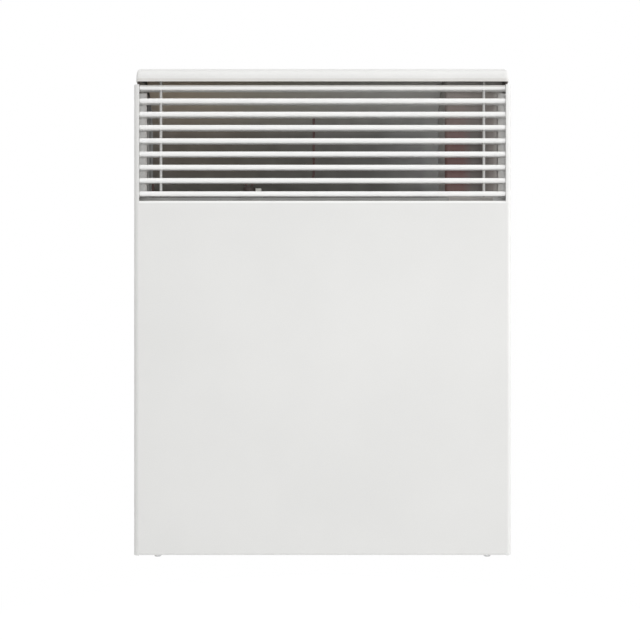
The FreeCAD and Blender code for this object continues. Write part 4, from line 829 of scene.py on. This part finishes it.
def white_to_eye(tree, lit, seen):
    """A shader as seen by camera, mirror and clear-glass rays, and as lit for all the others."""
    path = tree.nodes.new("ShaderNodeLightPath")
    eye = path.outputs["Is Camera Ray"]
    for ray in ("Is Glossy Ray", "Is Transmission Ray"):
        either = tree.nodes.new("ShaderNodeMath")
        either.operation = "MAXIMUM"
        tree.links.new(eye, either.inputs[0])
        tree.links.new(path.outputs[ray], either.inputs[1])
        eye = either.outputs[0]
    return mixed(tree, eye, lit, seen)


def make_world():
    """Even light from all round, which the eye sees as plain white."""
    world = bpy.data.worlds.new("studio")
    scene.world = world
    world.use_nodes = True
    tree = world.node_tree
    lit = tree.nodes["Background"]
    seen = tree.nodes.new("ShaderNodeBackground")
    for background, strength in ((lit, AMBIENT), (seen, PURE_WHITE)):
        background.inputs["Color"].default_value = (*WHITE, 1.0)
        background.inputs["Strength"].default_value = strength
    shader = white_to_eye(tree, lit.outputs[0], seen.outputs[0])
    tree.links.new(shader, tree.nodes["World Output"].inputs["Surface"])


def floor_material():
    """Pale, with the object's soft shadow. It turns to white further off, and is clear from below."""
    material = bpy.data.materials.new("floor")
    material.use_nodes = True
    tree = material.node_tree
    plain = tree.nodes["Principled BSDF"]
    plain.inputs["Base Color"].default_value = FLOOR_COLOUR
    plain.inputs["Roughness"].default_value = FLOOR_ROUGHNESS
    glow = tree.nodes.new("ShaderNodeEmission")
    glow.inputs["Strength"].default_value = FLOOR_GLOW
    white = tree.nodes.new("ShaderNodeEmission")
    white.inputs["Strength"].default_value = PURE_WHITE
    bright = tree.nodes.new("ShaderNodeAddShader")
    tree.links.new(plain.outputs[0], bright.inputs[0])
    tree.links.new(glow.outputs[0], bright.inputs[1])
    place = tree.nodes.new("ShaderNodeTexCoord")
    length = tree.nodes.new("ShaderNodeVectorMath")
    length.operation = "LENGTH"
    tree.links.new(place.outputs["Object"], length.inputs[0])
    far = tree.nodes.new("ShaderNodeMapRange")
    far.interpolation_type = "SMOOTHSTEP"
    far.inputs["From Min"].default_value, far.inputs["From Max"].default_value = FLOOR_FADE
    tree.links.new(length.outputs["Value"], far.inputs["Value"])
    faded = mixed(tree, far.outputs["Result"], bright.outputs[0], white.outputs[0])
    above = white_to_eye(tree, plain.outputs[0], faded)
    below = tree.nodes.new("ShaderNodeBsdfTransparent").outputs[0]
    from_below = tree.nodes.new("ShaderNodeNewGeometry").outputs["Backfacing"]
    shader = mixed(tree, from_below, above, below)
    tree.links.new(shader, tree.nodes["Material Output"].inputs["Surface"])
    return material


def make_floor():
    """A wide floor, well below the casing, which hangs on its wall bracket."""
    builder = bmesh.new()
    corners = [(-1, -1), (1, -1), (1, 1), (-1, 1)]
    places = [(x * FLOOR_REACH, y * FLOOR_REACH, FLOOR_LEVEL) for x, y in corners]
    builder.faces.new([builder.verts.new(place) for place in places])
    mesh = bpy.data.meshes.new("floor")
    builder.to_mesh(mesh)
    builder.free()
    mesh.materials.append(floor_material())
    floor = bpy.data.objects.new("floor", mesh)
    scene.collection.objects.link(floor)


# Each lamp: its name, place, the point it looks at, its width and height in metres, and its power in watts
LAMPS = (
    ("top", (0.05, -0.55, 1.35), (0.0, -0.05, 0.1), (1.3, 0.9), 7.1),
    ("side", (1.30, -0.22, 0.30), (0.1, -0.06, 0.05), (0.7, 0.9), 6.8),
    ("fill", (0.05, -1.75, 0.05), (0.0, -0.08, 0.12), (1.2, 0.9), 7.9),
    ("back", (-0.35, 1.60, 0.55), (0.0, 0.0, 0.05), (1.2, 0.9), 7.4),
)


def make_lamp(name, place, target, size, power):
    """A soft rectangular lamp."""
    lamp = bpy.data.lights.new(name, "AREA")
    lamp.shape = "RECTANGLE"
    lamp.size, lamp.size_y = size
    lamp.energy = power
    thing = bpy.data.objects.new(name, lamp)
    scene.collection.objects.link(thing)
    thing.location = place
    thing.rotation_euler = (Vector(target) - Vector(place)).to_track_quat("-Z", "Y").to_euler()


CAMERA_DISTANCE = 0.82
CAMERA_PLACE = (-0.0022, front - CAMERA_DISTANCE, 0.0428)
CAMERA_CLIP = (0.01, 30.0)
PIXELS_PER_METRE = 1107.1
IMAGE_WIDTH = 640
SENSOR = 36.0


def make_camera():
    """Level and square on to the front, at the photograph's scale."""
    camera = bpy.data.cameras.new("camera")
    camera.sensor_width = SENSOR
    camera.lens = PIXELS_PER_METRE * CAMERA_DISTANCE * SENSOR / IMAGE_WIDTH
    camera.clip_start, camera.clip_end = CAMERA_CLIP
    thing = bpy.data.objects.new("camera", camera)
    scene.collection.objects.link(thing)
    thing.location = CAMERA_PLACE
    thing.rotation_euler = (math.pi / 2, 0.0, 0.0)
    scene.camera = thing


make_world()
make_floor()
for lamp_settings in LAMPS:
    make_lamp(*lamp_settings)
make_camera()

scene.view_settings.view_transform = "Standard"
